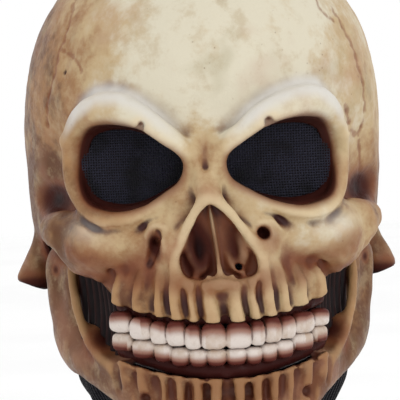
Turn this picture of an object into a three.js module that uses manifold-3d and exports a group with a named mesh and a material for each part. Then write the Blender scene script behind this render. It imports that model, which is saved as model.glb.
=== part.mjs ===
// A full-head latex skull mask with a hinged lower jaw, built as the separate pieces it is glued,
// sewn and pinned together from. Millimetres, +Z up, the face looks along -Y, +X is the mask's left.
// The origin is the middle of the hem that the mask stands on.
import * as THREE from "three";
import { mergeVertices } from "three/addons/utils/BufferGeometryUtils.js";
import Module from "manifold-3d";

// ---------------------------------------------------------------- driving dimensions
const HEIGHT = 345; // hem to crown
const CRANIUM_HALF_WIDTH = 104;
const BACK_Y = 123;
const FRONT_Y = -126; // upper teeth and nasal bone
const LATEX = 3; // wall of both castings
const GAP = 0.4; // between pieces that are glued or rest together

const RIM_Z = 134; // lower edge of the cranium casting at the nape
const ARCH_CUT_Z = 169; // open below the cheek arch
const MAXILLA_Z = 127; // lower edge of the upper jaw bone
const BITE_Z = 111; // where the front teeth meet
const JAW_EDGE_Z = 96; // upper edge of the lower jaw bone

const SMILE_RISE = 0.0031; // the bite line rises by this times x squared
const TOOTH_ARCH = 0.0088; // the tooth row runs back by this times x squared

const PIVOT = { y: -12, z: 180 }; // jaw hinge axis, along X
const STUD = { post: 3, hole: 3.35, cap: 5.5, capThick: 1.5 };

const EYE = { x: 43, z: 212, tilt: 10 * (Math.PI / 180), depth: -84, mesh: 1.2 };
const NOSE = { z: 148.5, height: 43, halfWidth: 22.5, depth: -104 };

const HOOD = { wall: 1.6, hem: 12, throatZ: 66 };
const PAD = { thick: 10, chin: 8, gap: 0.8 };

const wasm = await Module();
wasm.setup();

// ---------------------------------------------------------------- solids
function solid(geometry) {
  const bare = geometry.clone();
  bare.deleteAttribute("normal");
  bare.deleteAttribute("uv");
  const merged = mergeVertices(bare, 1e-3);
  return new wasm.Manifold(
    new wasm.Mesh({
      numProp: 3,
      vertProperties: merged.attributes.position.array,
      triVerts: new Uint32Array(merged.index.array),
    }),
  );
}

// Cuts can leave specks apart from the piece: only the piece is kept.
function largest(manifold) {
  return manifold.decompose().reduce((a, b) => (b.volume() > a.volume() ? b : a));
}

function geometryOf(manifold) {
  const mesh = manifold.getMesh();
  const points = new Float32Array(mesh.numVert * 3);
  for (let i = 0; i < mesh.numVert; i++) {
    points.set(mesh.vertProperties.subarray(i * mesh.numProp, i * mesh.numProp + 3), i * 3);
  }
  const geometry = new THREE.BufferGeometry();
  geometry.setAttribute("position", new THREE.BufferAttribute(points, 3));
  geometry.setIndex(new THREE.BufferAttribute(mesh.triVerts, 1));
  const flat = geometry.toNonIndexed();
  flat.computeVertexNormals();
  return flat;
}

// ---------------------------------------------------------------- signed distance forms
const mix = (a, b, t) => a + (b - a) * t;
const clamp = (v, lo, hi) => Math.min(hi, Math.max(lo, v));

function ellipsoid([cx, cy, cz], [rx, ry, rz]) {
  return (p) => {
    const [x, y, z] = [p.x - cx, p.y - cy, p.z - cz];
    const near = Math.hypot(x / rx, y / ry, z / rz);
    const slope = Math.hypot(x / (rx * rx), y / (ry * ry), z / (rz * rz));
    return (near * (near - 1)) / Math.max(slope, 1e-9);
  };
}

function bar([ax, ay, az], [bx, by, bz], radius) {
  const [dx, dy, dz] = [bx - ax, by - ay, bz - az];
  const square = dx * dx + dy * dy + dz * dz;
  return (p) => {
    const [x, y, z] = [p.x - ax, p.y - ay, p.z - az];
    const t = clamp((x * dx + y * dy + z * dz) / square, 0, 1);
    return Math.hypot(x - dx * t, y - dy * t, z - dz * t) - radius;
  };
}

// Rounded union: pieces closer than `blend` flow into each other.
function joined(blend, ...forms) {
  return (p) =>
    forms.map((form) => form(p)).reduce((a, b) => {
      const h = clamp(0.5 + (0.5 * (b - a)) / blend, 0, 1);
      return mix(b, a, h) - blend * h * (1 - h);
    });
}

// The form is the same on both sides, so it is described on +X only.
const mirrored = (form) => (p) => form({ x: Math.abs(p.x), y: p.y, z: p.z });

const skullForm = mirrored(
  joined(
    12,
    ellipsoid([0, 20, 238], [CRANIUM_HALF_WIDTH, BACK_Y - 20, HEIGHT - 238]),
    ellipsoid([0, -20, 254], [90, 92, 82]), // forehead
    ellipsoid([0, 22, 182], [97, 86, 70]), // base of the skull
    ellipsoid([92, 20, 159], [16, 20, 22]), // bulge behind the ear
    ellipsoid([40, -62, 210], [38, 36, 34]), // block that the socket is cut into
    bar([10, -108, 221], [52, -98, 246], 8), // brow
    bar([52, -98, 246], [73, -78, 236], 8),
    bar([72, -78, 236], [70, -78, 194], 7), // outer rim of the socket
    bar([0, -100, 222], [0, -117, 196], 8), // nasal bone
    bar([18, -106, 196], [46, -95, 184], 7), // lower rim of the socket
    bar([46, -95, 184], [70, -78, 192], 7),
    ellipsoid([60, -80, 171], [22, 17, 19]), // cheekbone
    bar([74, -70, 176], [92, -34, 178], 7), // cheek arch
    bar([92, -34, 178], [93, 4, 180], 7),
    ellipsoid([0, -72, 156], [54, 50, 36]), // upper jaw
    ellipsoid([0, -62, 132], [68, 61, 24]), // arch that holds the teeth
  ),
);

const jawForm = mirrored(
  joined(
    10,
    ellipsoid([0, -54, 98], [67, 64, 28]), // arch that holds the teeth
    bar([0, -101, 75], [36, -91, 78], 15),
    bar([36, -91, 78], [63, -60, 90], 15),
    bar([63, -60, 90], [75, -28, 106], 13),
    ellipsoid([0, -104, 70], [26, 14, 12]), // chin
    ellipsoid([67, -18, 150], [20, 31, 64]), // ramus
  ),
);

// A sphere whose points slide along their rays out to where the form has the given level.
function cast(form, level, centre, around, down) {
  const geometry = new THREE.SphereGeometry(1, around, down);
  geometry.rotateX(Math.PI / 2);
  const at = geometry.attributes.position;
  const ray = new THREE.Vector3();
  const point = new THREE.Vector3();
  const reach = 260;
  const steps = 130;
  for (let i = 0; i < at.count; i++) {
    ray.fromBufferAttribute(at, i).normalize();
    const value = (r) => form(point.copy(ray).multiplyScalar(r).add(centre)) - level;
    let step = steps;
    while (step > 1 && value((reach * step) / steps) > 0) step -= 1;
    let [near, far] = [(reach * step) / steps, (reach * (step + 1)) / steps];
    for (let k = 0; k < 20; k++) {
      const half = (near + far) / 2;
      if (value(half) > 0) far = half;
      else near = half;
    }
    at.setXYZ(i, ...point.copy(ray).multiplyScalar(near).add(centre).toArray());
  }
  return solid(geometry);
}

// ---------------------------------------------------------------- cutters
function shapeOf(points) {
  return new THREE.Shape(points.map(([a, b]) => new THREE.Vector2(a, b)));
}

// A side outline, given as [y, z] points, run across the whole width.
function acrossWidth(points, from = -130, to = 130) {
  const geometry = new THREE.ExtrudeGeometry(shapeOf(points), { depth: to - from, bevelEnabled: false });
  geometry.applyMatrix4(
    new THREE.Matrix4().makeBasis(
      new THREE.Vector3(0, 1, 0),
      new THREE.Vector3(0, 0, 1),
      new THREE.Vector3(1, 0, 0),
    ),
  );
  return solid(geometry.translate(from, 0, 0));
}

// A front outline, a THREE.Shape in x and z, run from one depth to another.
function throughDepth(shape, from, to, curveSegments = 10) {
  const geometry = new THREE.ExtrudeGeometry(shape, { depth: to - from, bevelEnabled: false, curveSegments });
  geometry.rotateX(Math.PI / 2);
  return solid(geometry.translate(0, to, 0));
}

// A plan outline, a THREE.Shape in x and y, run upwards.
function upwards(shape, from, to, curveSegments = 24) {
  const geometry = new THREE.ExtrudeGeometry(shape, { depth: to - from, bevelEnabled: false, curveSegments });
  return solid(geometry.translate(0, 0, from));
}

function ellipse(cx, cy, rx, ry) {
  const shape = new THREE.Shape();
  shape.absellipse(cx, cy, rx, ry, 0, Math.PI * 2);
  return shape;
}

const block = (x, y, z) => new THREE.BoxGeometry(x[1] - x[0], y[1] - y[0], z[1] - z[0])
  .translate((x[0] + x[1]) / 2, (y[0] + y[1]) / 2, (z[0] + z[1]) / 2);

// ---------------------------------------------------------------- openings in the face
// Frowning eye outline on one side: `grow` widens it evenly.
function eyeShape(side, grow) {
  const shape = new THREE.Shape();
  const put = (x, z) => [side * (EYE.x + x), EYE.z + z];
  const g = grow;
  shape.moveTo(...put(-27 - g, 4));
  shape.quadraticCurveTo(...put(-10, 22 + g), ...put(8, 24 + g));
  shape.quadraticCurveTo(...put(26 + g, 24 + g), ...put(28 + g, 0));
  shape.quadraticCurveTo(...put(28 + g, -22 - g), ...put(5, -22 - g));
  shape.quadraticCurveTo(...put(-18, -18 - g), ...put(-27 - g, 4));
  return shape;
}

// Pear-shaped nose outline.
function noseShape(grow) {
  const shape = new THREE.Shape();
  const top = NOSE.z + NOSE.height + grow;
  const w = NOSE.halfWidth + grow;
  shape.moveTo(0, top);
  shape.bezierCurveTo(6, top, w, NOSE.z + 26, w, NOSE.z + 13);
  shape.bezierCurveTo(w, NOSE.z - grow, 6, NOSE.z - grow, 0, NOSE.z - grow);
  shape.bezierCurveTo(-6, NOSE.z - grow, -w, NOSE.z - grow, -w, NOSE.z + 13);
  shape.bezierCurveTo(-w, NOSE.z + 26, -6, top, 0, top);
  return shape;
}

// A slab turned about a vertical line so that it follows the face round to the side.
function eyeSlab(side, shape, front, back) {
  const flat = new THREE.ExtrudeGeometry(shape, { depth: back - front, bevelEnabled: false, curveSegments: 8 });
  flat.rotateX(Math.PI / 2).translate(-side * EYE.x, back, 0);
  flat.rotateZ(side * EYE.tilt).translate(side * EYE.x, EYE.depth, 0);
  return solid(flat);
}

// ---------------------------------------------------------------- the castings
const castSkull = (level) => cast(skullForm, level, new THREE.Vector3(0, -14, 200), 46, 30);
const castJaw = (level) => cast(jawForm, level, new THREE.Vector3(0, -34, 108), 44, 30);
const skullOuter = castSkull(0);
const skullInner = castSkull(-LATEX);
const skullLining = castSkull(-LATEX - GAP);
const jawLining = castJaw(-LATEX - GAP);

// Everything below the lower edge of the cranium casting: along the upper jaw bone, up to the
// cheek arch and back down to the nape.
function belowSkull(drop) {
  return acrossWidth(
    [
      [-150, 20], [-150, MAXILLA_Z], [-121, MAXILLA_Z], [-89, 138], [-76, 142], [-66, 150],
      [-60, ARCH_CUT_Z], [2, ARCH_CUT_Z], [5, 152], [12, 138], [40, RIM_Z], [150, RIM_Z], [150, 20],
    ].map(([y, z]) => [y, z - drop]),
  );
}

// Side outline of the lower jaw: the edge under the teeth, the ramus and the lower border.
function jawOutline(rise) {
  return acrossWidth(
    [
      [-130, 50], [-130, JAW_EDGE_Z], [-104, JAW_EDGE_Z + 2], [-84, 103], [-58, 108], [-46, 120],
      [-42, 150], [-38, 166], [-27, 174], [-22, 187], [-2, 187], [4, 172], [0, 130], [-6, 104],
      [-24, 88], [-76, 66], [-92, 50],
    ].map(([y, z]) => [y, z + rise]),
  );
}

// The walls with a gap's width to spare, taken out of what is glued against them.
const skullWall = () => castSkull(GAP).subtract(skullLining).subtract(belowSkull(GAP));
const jawWall = () => castJaw(GAP).subtract(jawLining).intersect(jawOutline(GAP));

// Room inside each cheek arch for the top of the jaw.
function jawPassage(side) {
  const x = side > 0 ? [66, RAMUS_OUT + 3] : [-RAMUS_OUT - 3, -66];
  return solid(block(x, [-58, 12], [140, 190]));
}

function skullShell() {
  let shell = skullOuter.subtract(skullInner);
  for (const side of [-1, 1]) {
    const well = eyeSlab(side, eyeShape(side, LATEX), -34, -GAP)
      .subtract(eyeSlab(side, eyeShape(side, 0), -60, 10))
      .intersect(skullOuter);
    shell = shell.subtract(eyeSlab(side, eyeShape(side, 0), -60, 30)).add(well);
  }
  const noseWell = throughDepth(noseShape(LATEX), FRONT_Y - 10, NOSE.depth)
    .subtract(throughDepth(noseShape(0), FRONT_Y - 20, NOSE.depth + 10))
    .intersect(skullOuter);
  const septum = solid(block([-1.2, 1.2], [-119, NOSE.depth], [NOSE.z - 2, NOSE.z + NOSE.height + 2]))
    .intersect(skullOuter);
  shell = shell.subtract(throughDepth(noseShape(0), FRONT_Y - 20, -80)).add(noseWell).add(septum);
  return shell.subtract(belowSkull(0)).subtract(jawPassage(1)).subtract(jawPassage(-1));
}

function jawShell() {
  const skin = castJaw(0).subtract(castJaw(-LATEX));
  const inside = upwards(ellipse(0, -10, 72, 92), 74, 220);
  return largest(skin.intersect(jawOutline(0)).subtract(inside).subtract(studHoles()));
}

// ---------------------------------------------------------------- teeth
// A band along the dental arch, curved like the bite line.
function archBand(front, thick, low, high, reach) {
  const shape = new THREE.Shape();
  const steps = 14;
  for (let i = 0; i <= steps; i++) {
    const x = mix(-reach, reach, i / steps);
    const y = front + TOOTH_ARCH * x * x;
    if (i === 0) shape.moveTo(x, y);
    else shape.lineTo(x, y);
  }
  for (let i = steps; i >= 0; i--) {
    const x = mix(-reach, reach, i / steps) * (1 - thick / 110);
    shape.lineTo(x, front + thick + TOOTH_ARCH * x * x);
  }
  const geometry = new THREE.ExtrudeGeometry(shape, { depth: high - low, bevelEnabled: false });
  geometry.translate(0, 0, low);
  const at = geometry.attributes.position;
  for (let i = 0; i < at.count; i++) at.setZ(i, at.getZ(i) + SMILE_RISE * at.getX(i) ** 2);
  return solid(geometry);
}

// Crowns stand on the band, each a rounded block with its own width.
const CROWN_EDGES = [0, 14, 22.3, 32, 40.5, 52, 62];
function crowns(front, depth, low, high) {
  const made = [];
  for (let i = 0; i < CROWN_EDGES.length - 1; i++) {
    for (const side of [-1, 1]) {
      const x = (side * (CROWN_EDGES[i] + CROWN_EDGES[i + 1])) / 2;
      const wide = (CROWN_EDGES[i + 1] - CROWN_EDGES[i]) * Math.hypot(1, 2 * TOOTH_ARCH * x) - 0.8;
      const tooth = new THREE.BoxGeometry(wide, depth, high - low, 1, 1, 2);
      const at = tooth.attributes.position;
      for (let k = 0; k < at.count; k++) {
        const narrow = Math.abs(at.getZ(k)) > 1 ? 0.86 : 1;
        at.setX(k, at.getX(k) * narrow);
      }
      tooth.rotateZ(Math.atan(2 * TOOTH_ARCH * x));
      const y = front + depth / 2 + TOOTH_ARCH * x * x;
      made.push(solid(tooth.translate(x, y, (low + high) / 2 + SMILE_RISE * x * x)));
    }
  }
  return made;
}

function toothStrip(front, low, high, crownLow, crownHigh) {
  const band = archBand(front + 3, 5, low, high, 60);
  return crowns(front, 7, crownLow, crownHigh).reduce((all, tooth) => all.add(tooth), band);
}

const upperTeeth = () =>
  largest(toothStrip(-120.5, BITE_Z + 8, BITE_Z + 24, BITE_Z + 0.5, BITE_Z + 15).subtract(skullWall()));
const lowerTeeth = () =>
  largest(toothStrip(-116, BITE_Z - 22, BITE_Z - 8, BITE_Z - 14, BITE_Z - 0.5).subtract(jawWall()));

// ---------------------------------------------------------------- mesh panels, gussets and pads
function eyeMesh(side) {
  return largest(eyeSlab(side, eyeShape(side, LATEX + 3), 0, EYE.mesh).intersect(skullLining));
}

function noseMesh() {
  const front = NOSE.depth + GAP;
  return throughDepth(noseShape(LATEX + 1), front, front + EYE.mesh).intersect(skullLining);
}

// Stretch panel closing the cheek between upper jaw, cheekbone and ramus.
function cheekGusset(side) {
  const thick = 1.6;
  const strip = shapeOf([
    [side * 57.5, -73], [side * 76, -41], [side * (76 - thick), -41], [side * (57.5 - thick), -73],
  ]);
  const outline = acrossWidth([
    [-90, 106], [-90, 136], [-76, 139], [-68, 146], [-61, 162], [-43, 162], [-45, 150], [-50, 122], [-60, 112],
  ]);
  return upwards(strip, 100, 170).intersect(outline);
}

// A pad stuck inside a casting: the slab between two levels of its form, cut to a rounded outline.
function padInside(castForm, thick, cutter) {
  const front = -LATEX - PAD.gap;
  return largest(castForm(front).subtract(castForm(front - thick)).intersect(cutter));
}

function roundBar(axis, at, rx, ry, from, to) {
  const post = new THREE.CylinderGeometry(1, 1, to - from, 16);
  if (axis === "x") post.rotateZ(Math.PI / 2).scale(1, rx, ry).translate((from + to) / 2, at[0], at[1]);
  if (axis === "y") post.scale(rx, 1, ry).translate(at[0], (from + to) / 2, at[1]);
  if (axis === "z") post.rotateX(Math.PI / 2).scale(rx, ry, 1).translate(at[0], at[1], (from + to) / 2);
  return solid(post);
}

const skullPad = (cutter) => padInside(castSkull, PAD.thick, cutter);
const crownPad = () => skullPad(roundBar("z", [0, 15], 42, 50, 260, 350));
const foreheadPad = () => skullPad(roundBar("y", [0, 268], 48, 15, -140, -40));
const napePad = () => skullPad(roundBar("y", [0, 200], 42, 26, 60, 140));
const templePad = (side) => skullPad(roundBar("x", [12, 245], 36, 22, ...span(side, 60, 130)));
const chinCup = () => padInside(castJaw, PAD.chin, roundBar("y", [0, 75], 28, 8, -130, -60));

// ---------------------------------------------------------------- jaw hinge
const RAMUS_OUT = 86.6; // outer face of the ramus at the hinge
const TAB_IN = 73;
const TAB_THICK = 1.6;

// The X range from a to b on the left side, mirrored on the right.
function span(side, a, b) {
  return side > 0 ? [a, b] : [-b, -a];
}

function studHoles() {
  const { y, z } = PIVOT;
  return roundBar("x", [y, z], STUD.hole, STUD.hole, 60, 110)
    .add(roundBar("x", [y, z], STUD.hole, STUD.hole, -110, -60));
}

function hingeStud(side) {
  const { y, z } = PIVOT;
  const out = RAMUS_OUT + GAP;
  const post = roundBar("x", [y, z], STUD.post, STUD.post, ...span(side, TAB_IN - 2, out + 0.5));
  return post.add(roundBar("x", [y, z], STUD.cap, STUD.cap, ...span(side, out, out + STUD.capThick)));
}

function studSocket(side) {
  const { y, z } = PIVOT;
  const low = TAB_IN - GAP - 2.2;
  return roundBar("x", [y, z], STUD.cap, STUD.cap, ...span(side, low, TAB_IN - GAP))
    .subtract(roundBar("x", [y, z], STUD.hole, STUD.hole, ...span(side, low - 1, TAB_IN)));
}

// Webbing tab: hangs from the inside of the cranium casting and carries the stud.
function hingeTab(side) {
  const outline = [
    [TAB_IN, 169], [TAB_IN + TAB_THICK, 169], [TAB_IN + TAB_THICK, 194], [90, 206], [92, 219],
    [92 - TAB_THICK, 219], [90 - TAB_THICK, 206.6], [TAB_IN, 194.6],
  ].map(([x, z]) => [side * x, z]);
  const tab = throughDepth(shapeOf(outline), PIVOT.y - 11, PIVOT.y + 11);
  return largest(tab.intersect(skullLining).subtract(studHoles()));
}

// ---------------------------------------------------------------- neck hood
// Half width, half depth and middle of the sleeve at each height.
const HOOD_RINGS = [
  { z: 0, x: 76, y: 74, mid: 12 },
  { z: 34, x: 66, y: 62, mid: 15 },
  { z: 60, x: 65, y: 57, mid: 18 },
  { z: 90, x: 75, y: 60, mid: 22 },
  { z: 128, x: 64, y: 56, mid: 22 },
  { z: 160, x: 78, y: 70, mid: 22 },
];
function ringAt(z) {
  const above = HOOD_RINGS.findIndex((ring) => ring.z >= z);
  const b = HOOD_RINGS[Math.max(above, 1)];
  const a = HOOD_RINGS[Math.max(above, 1) - 1];
  const s = clamp((z - a.z) / (b.z - a.z), 0, 1);
  const t = s * s * (3 - 2 * s);
  return { x: mix(a.x, b.x, t), y: mix(a.y, b.y, t), mid: mix(a.mid, b.mid, t) };
}

function sleeve(from, to, grow, rows) {
  const geometry = new THREE.CylinderGeometry(1, 1, to - from, 36, rows);
  geometry.rotateX(Math.PI / 2).translate(0, 0, (from + to) / 2);
  const at = geometry.attributes.position;
  for (let i = 0; i < at.count; i++) {
    const ring = ringAt(clamp(at.getZ(i), 0, 160));
    at.setX(i, at.getX(i) * (ring.x + grow));
    at.setY(i, at.getY(i) * (ring.y + grow) + ring.mid);
  }
  return solid(geometry);
}

const tube = (from, to, out, wall, rows) =>
  sleeve(from, to, out, rows).subtract(sleeve(from - 1, to + 1, out - wall, rows));

// The sleeve is cut low under the chin, and runs up behind each ramus to the nape.
function neckHood() {
  return tube(HOOD.hem + GAP, 152, 0, HOOD.wall, 7).subtract(
    acrossWidth([
      [-150, HOOD.throatZ], [-20, HOOD.throatZ], [2, 86], [14, 118], [16, 160], [-150, 160],
    ]),
  ).subtract(skullWall());
}

const hoodHem = () => tube(0, HOOD.hem, 1.2, 3.4, 2);

// Sling of the same fabric from the throat forward under the jaw.
function throatGusset() {
  const drop = 1.6;
  const sling = acrossWidth([[-71, 63], [-44, 60], [-44, 60 - drop], [-71, 63 - drop]], -70, 70);
  return sling.intersect(upwards(ellipse(0, -22, 50, 50), 40, 120));
}

// ---------------------------------------------------------------- assembly
const finish = (color, roughness, metalness = 0) =>
  new THREE.MeshStandardMaterial({ color, roughness, metalness });
const LATEX_BONE = finish(0xb89b6c, 0.55);
const TOOTH = finish(0xd9cdb8, 0.35);
const MESH = finish(0x12121a, 0.9);
const KNIT = finish(0x0d0d10, 0.95);
const CHEEK = finish(0x22100f, 0.8);
const FOAM = finish(0x3a3a3c, 1);
const STEEL = finish(0x8b8b8d, 0.35, 1);

const pieces = [
  ["skull_shell", skullShell(), LATEX_BONE],
  ["jaw_shell", jawShell(), LATEX_BONE],
  ["upper_teeth", upperTeeth(), TOOTH],
  ["lower_teeth", lowerTeeth(), TOOTH],
  ["nose_mesh", noseMesh(), MESH],
  ["neck_hood", neckHood(), KNIT],
  ["hood_hem", hoodHem(), KNIT],
  ["throat_gusset", throatGusset(), KNIT],
  ["crown_pad", crownPad(), FOAM],
  ["forehead_pad", foreheadPad(), FOAM],
  ["nape_pad", napePad(), FOAM],
  ["chin_cup", chinCup(), FOAM],
];
for (const [name, side] of [["left", 1], ["right", -1]]) {
  pieces.push([`eye_mesh_${name}`, eyeMesh(side), MESH]);
  pieces.push([`cheek_gusset_${name}`, cheekGusset(side), CHEEK]);
  pieces.push([`temple_pad_${name}`, templePad(side), FOAM]);
  pieces.push([`hinge_tab_${name}`, hingeTab(side), KNIT]);
  pieces.push([`hinge_stud_${name}`, hingeStud(side), STEEL]);
  pieces.push([`stud_socket_${name}`, studSocket(side), STEEL]);
}

const mask = new THREE.Group();
for (const [name, body, material] of pieces) {
  const mesh = new THREE.Mesh(geometryOf(body), material);
  mesh.name = name;
  mask.add(mesh);
}
export default mask;
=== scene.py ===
"""A full-head latex skull mask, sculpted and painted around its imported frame.

The forms are worked in millimetres in the frame's axes (the face looks along -Y, +X is the mask's
own left) and become meshes in metres.
"""

import math

import bpy
import numpy as np
import openvdb
from mathutils import Matrix, Vector
from mathutils.kdtree import KDTree


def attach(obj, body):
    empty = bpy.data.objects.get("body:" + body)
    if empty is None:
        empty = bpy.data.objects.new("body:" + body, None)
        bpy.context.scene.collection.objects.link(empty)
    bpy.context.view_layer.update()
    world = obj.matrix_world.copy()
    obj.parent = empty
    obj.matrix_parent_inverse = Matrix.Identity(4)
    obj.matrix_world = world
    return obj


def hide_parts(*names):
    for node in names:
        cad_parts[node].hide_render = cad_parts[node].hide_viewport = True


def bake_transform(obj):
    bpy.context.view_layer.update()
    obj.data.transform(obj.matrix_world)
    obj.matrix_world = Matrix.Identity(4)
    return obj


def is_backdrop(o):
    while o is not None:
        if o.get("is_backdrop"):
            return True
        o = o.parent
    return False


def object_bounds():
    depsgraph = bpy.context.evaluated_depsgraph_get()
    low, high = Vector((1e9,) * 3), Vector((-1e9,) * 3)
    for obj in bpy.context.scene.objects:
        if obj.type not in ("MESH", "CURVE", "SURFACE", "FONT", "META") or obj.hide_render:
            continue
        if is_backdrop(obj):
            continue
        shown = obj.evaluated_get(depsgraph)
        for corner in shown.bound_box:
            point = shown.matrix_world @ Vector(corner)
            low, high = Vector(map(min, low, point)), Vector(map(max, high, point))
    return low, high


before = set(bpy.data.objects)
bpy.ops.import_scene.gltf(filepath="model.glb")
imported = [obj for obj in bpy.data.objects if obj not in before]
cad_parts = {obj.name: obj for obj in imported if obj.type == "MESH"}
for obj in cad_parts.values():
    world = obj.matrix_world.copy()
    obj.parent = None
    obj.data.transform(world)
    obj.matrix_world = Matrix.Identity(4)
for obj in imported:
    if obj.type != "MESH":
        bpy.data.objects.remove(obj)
cad_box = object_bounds()

MM = 0.001
STEP = 1.2  # clay's grid step, mm
TOOTH_STEP = 0.6
LATEX = 2.6  # wall of the castings, mm
FOAM = 9.0  # depth of the pads
HEM = 11.4  # height at which the neck hood ends in its hem
# most triangles of a casting, a strip of teeth and a pad
CASTING_FACES, TOOTH_FACES, PAD_FACES = 190_000, 120_000, 24_000
SIDES = ((1, "left"), (-1, "right"))

# The bite line rises with the square of x, and the tooth arch runs back with it
SMILE = 0.0031
ARCH = 0.0088
BITE = 111.3  # height of the bite line in the middle
MIDLINE = 1.4  # the middle of the bite, off the mask's own middle
UPPER_BONE, LOWER_BONE = 127.0, 95.0  # edges of the bone above and below the teeth
ROOT_EDGES = [0, 13.6, 22.2, 31.6, 40.2, 51.2, 61.5]  # x of the grooves between the roots
CRACKS = []  # the forms of the cracks, for the paint

# Neck sleeve: height, half width, half depth and middle
HOOD_RINGS = [
    (0, 76, 74, 12), (34, 66, 62, 15), (60, 66, 57, 18), (90, 77.5, 60, 22), (128, 66, 57, 22),
    (160, 70, 66, 22),
]

# Each eye panel lies in an upright plane turned outwards about (x, y)
EYE_TILT = math.radians(14)
EYE_CENTRE, EYE_PLANE = 43.0, -84.0

# Depths of the sockets' floor and of the nose opening
EYE_FLOOR = -3.5
NOSE_FLOOR = -105.5

# Woven backing of the openings: pitch and thickness of the threads, and half a thread's weave
MESH_PITCH, MESH_THREAD, MESH_LIFT = 1.5, 0.72, 0.22
EYE_MARGIN, NOSE_MARGIN = 2.0, 1.0  # glued edges, round the outlines
NOSE_MESH = -101.5

# Thickness of the cloths
HOOD_CLOTH, HEM_CLOTH, GUSSET_CLOTH = 1.4, 0.7, 1.2
AROUND = 240  # points round the neck sleeve
SLEEVE = 70  # its mean radius, which scales the knit round it


# ------------------------------------------------------------------ clay
class Form:
    """A distance function with the box that it fits in."""

    def __init__(self, low, high, distance):
        self.low = np.array(low, float)
        self.high = np.array(high, float)
        self.distance = distance


def blob(centre, radii, power=2.0, turn=None):
    """An ellipsoid. A power above 2 makes it boxier, and turn rotates it (degrees about x, y, z)."""
    c = np.array(centre, float)
    r = np.array(radii, float)
    axes = np.eye(3)
    if turn is not None:
        spin = Matrix.Identity(3)
        for angle, axis in zip(turn, "XYZ"):
            spin = Matrix.Rotation(math.radians(angle), 3, axis) @ spin
        axes = np.array(spin)
    reach = r if turn is None else np.full(3, r.max())

    def distance(x, y, z):
        q = [
            axes[0, k] * (x - c[0]) + axes[1, k] * (y - c[1]) + axes[2, k] * (z - c[2])
            for k in range(3)
        ]
        if power == 2.0:
            near = np.sqrt(sum((q[k] / r[k]) ** 2 for k in range(3)))
            slope = np.sqrt(sum((q[k] / r[k] ** 2) ** 2 for k in range(3)))
            return near * (near - 1) / np.maximum(slope, 1e-6)
        near = sum(np.abs(q[k] / r[k]) ** power for k in range(3)) ** (1 / power)
        away = np.sqrt(sum(q[k] ** 2 for k in range(3)))
        return away * (1 - 1 / np.maximum(near, 1e-4))

    return Form(c - reach, c + reach, distance)


def eased(points, per_span=4, closed=False):
    """The points of a smooth line through the given ones (Catmull-Rom)."""
    p = np.array(points, float)
    if closed:
        p = np.concatenate([p[-1:], p, p[:2]])
    else:
        p = np.concatenate([2 * p[:1] - p[1:2], p, 2 * p[-1:] - p[-2:-1]])
    out = []
    for a, b, c, d in zip(p[:-3], p[1:-2], p[2:-1], p[3:]):
        for t in np.arange(per_span) / per_span:
            out.append(
                0.5 * (
                    2 * b + (c - a) * t + (2 * a - 5 * b + 4 * c - d) * t**2 + (
                        3 * b - a - 3 * c + d
                    ) * t**3
                )
            )
    if not closed:
        out.append(p[-2])
    return np.array(out)


def rope(*stations, per_span=4):
    """A tube through (x, y, z, radius) stations."""
    line = eased(stations, per_span) if len(stations) > 2 else np.array(stations, float)
    top = line[:, 3].max()

    def distance(x, y, z):
        best = None
        for a, b in zip(line[:-1], line[1:]):
            d = b - a
            t = ((x - a[0]) * d[0] + (y - a[1]) * d[1] + (z - a[2]) * d[2]) / max(
                float(d[:3] @ d[:3]), 1e-9,
            )
            t = np.clip(t, 0, 1)
            away = (x - a[0] - t * d[0]) ** 2 + (y - a[1] - t * d[1]) ** 2 + (z - a[2] - t * d[2]) ** 2
            here = np.sqrt(away) - (a[3] + t * d[3])
            best = here if best is None else np.minimum(best, here)
        return best

    return Form(line[:, :3].min(0) - top, line[:, :3].max(0) + top, distance)


def outline_distance(points, u, v):
    """Signed distance to a closed outline, negative inside."""
    best = np.full(np.broadcast(u, v).shape, 1e9)
    inside = np.zeros(best.shape, bool)
    for (ax, ay), (bx, by) in zip(points, np.roll(points, -1, axis=0)):
        dx, dy = bx - ax, by - ay
        t = np.clip(((u - ax) * dx + (v - ay) * dy) / max(dx * dx + dy * dy, 1e-9), 0, 1)
        best = np.minimum(best, (u - ax - t * dx) ** 2 + (v - ay - t * dy) ** 2)
        crosses = ((ay > v) != (by > v)) & (u < ax + (v - ay) * dx / (dy if abs(dy) > 1e-9 else 1e-9))
        inside ^= crosses
    return np.where(inside, -1, 1) * np.sqrt(best)


def drilled(outline, front, back, tilt=0.0, pivot=0.0, plane=0.0, grow=0.0, flare=0.0):
    """A front outline (x, z) run through the depth. tilt turns it round to the side about the
    vertical line at x = pivot, y = plane. It widens by flare for each millimetre of depth."""
    low, high = outline.min(0), outline.max(0)
    deep = abs(back - front)
    spread = grow + abs(flare) * deep + abs(math.sin(tilt)) * (deep + 60)
    c, s = math.cos(tilt), math.sin(tilt)

    def distance(x, y, z):
        across = c * (x - pivot) + s * (y - plane) + pivot
        depth = -s * (x - pivot) + c * (y - plane)
        edge = outline_distance(outline, across, z + 0 * across) - grow - flare * (depth - front)
        return np.maximum(edge, np.maximum(front - depth, depth - back))

    return Form(
        (low[0] - spread, plane + front - 20, low[1] - grow - abs(flare) * deep),
        (high[0] + spread, plane + back + 20, high[1] + grow + abs(flare) * deep), distance,
    )


def fillet(a, b, blend):
    h = np.maximum(blend - np.abs(a - b), 0) / blend
    return h * h * blend / 4


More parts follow.
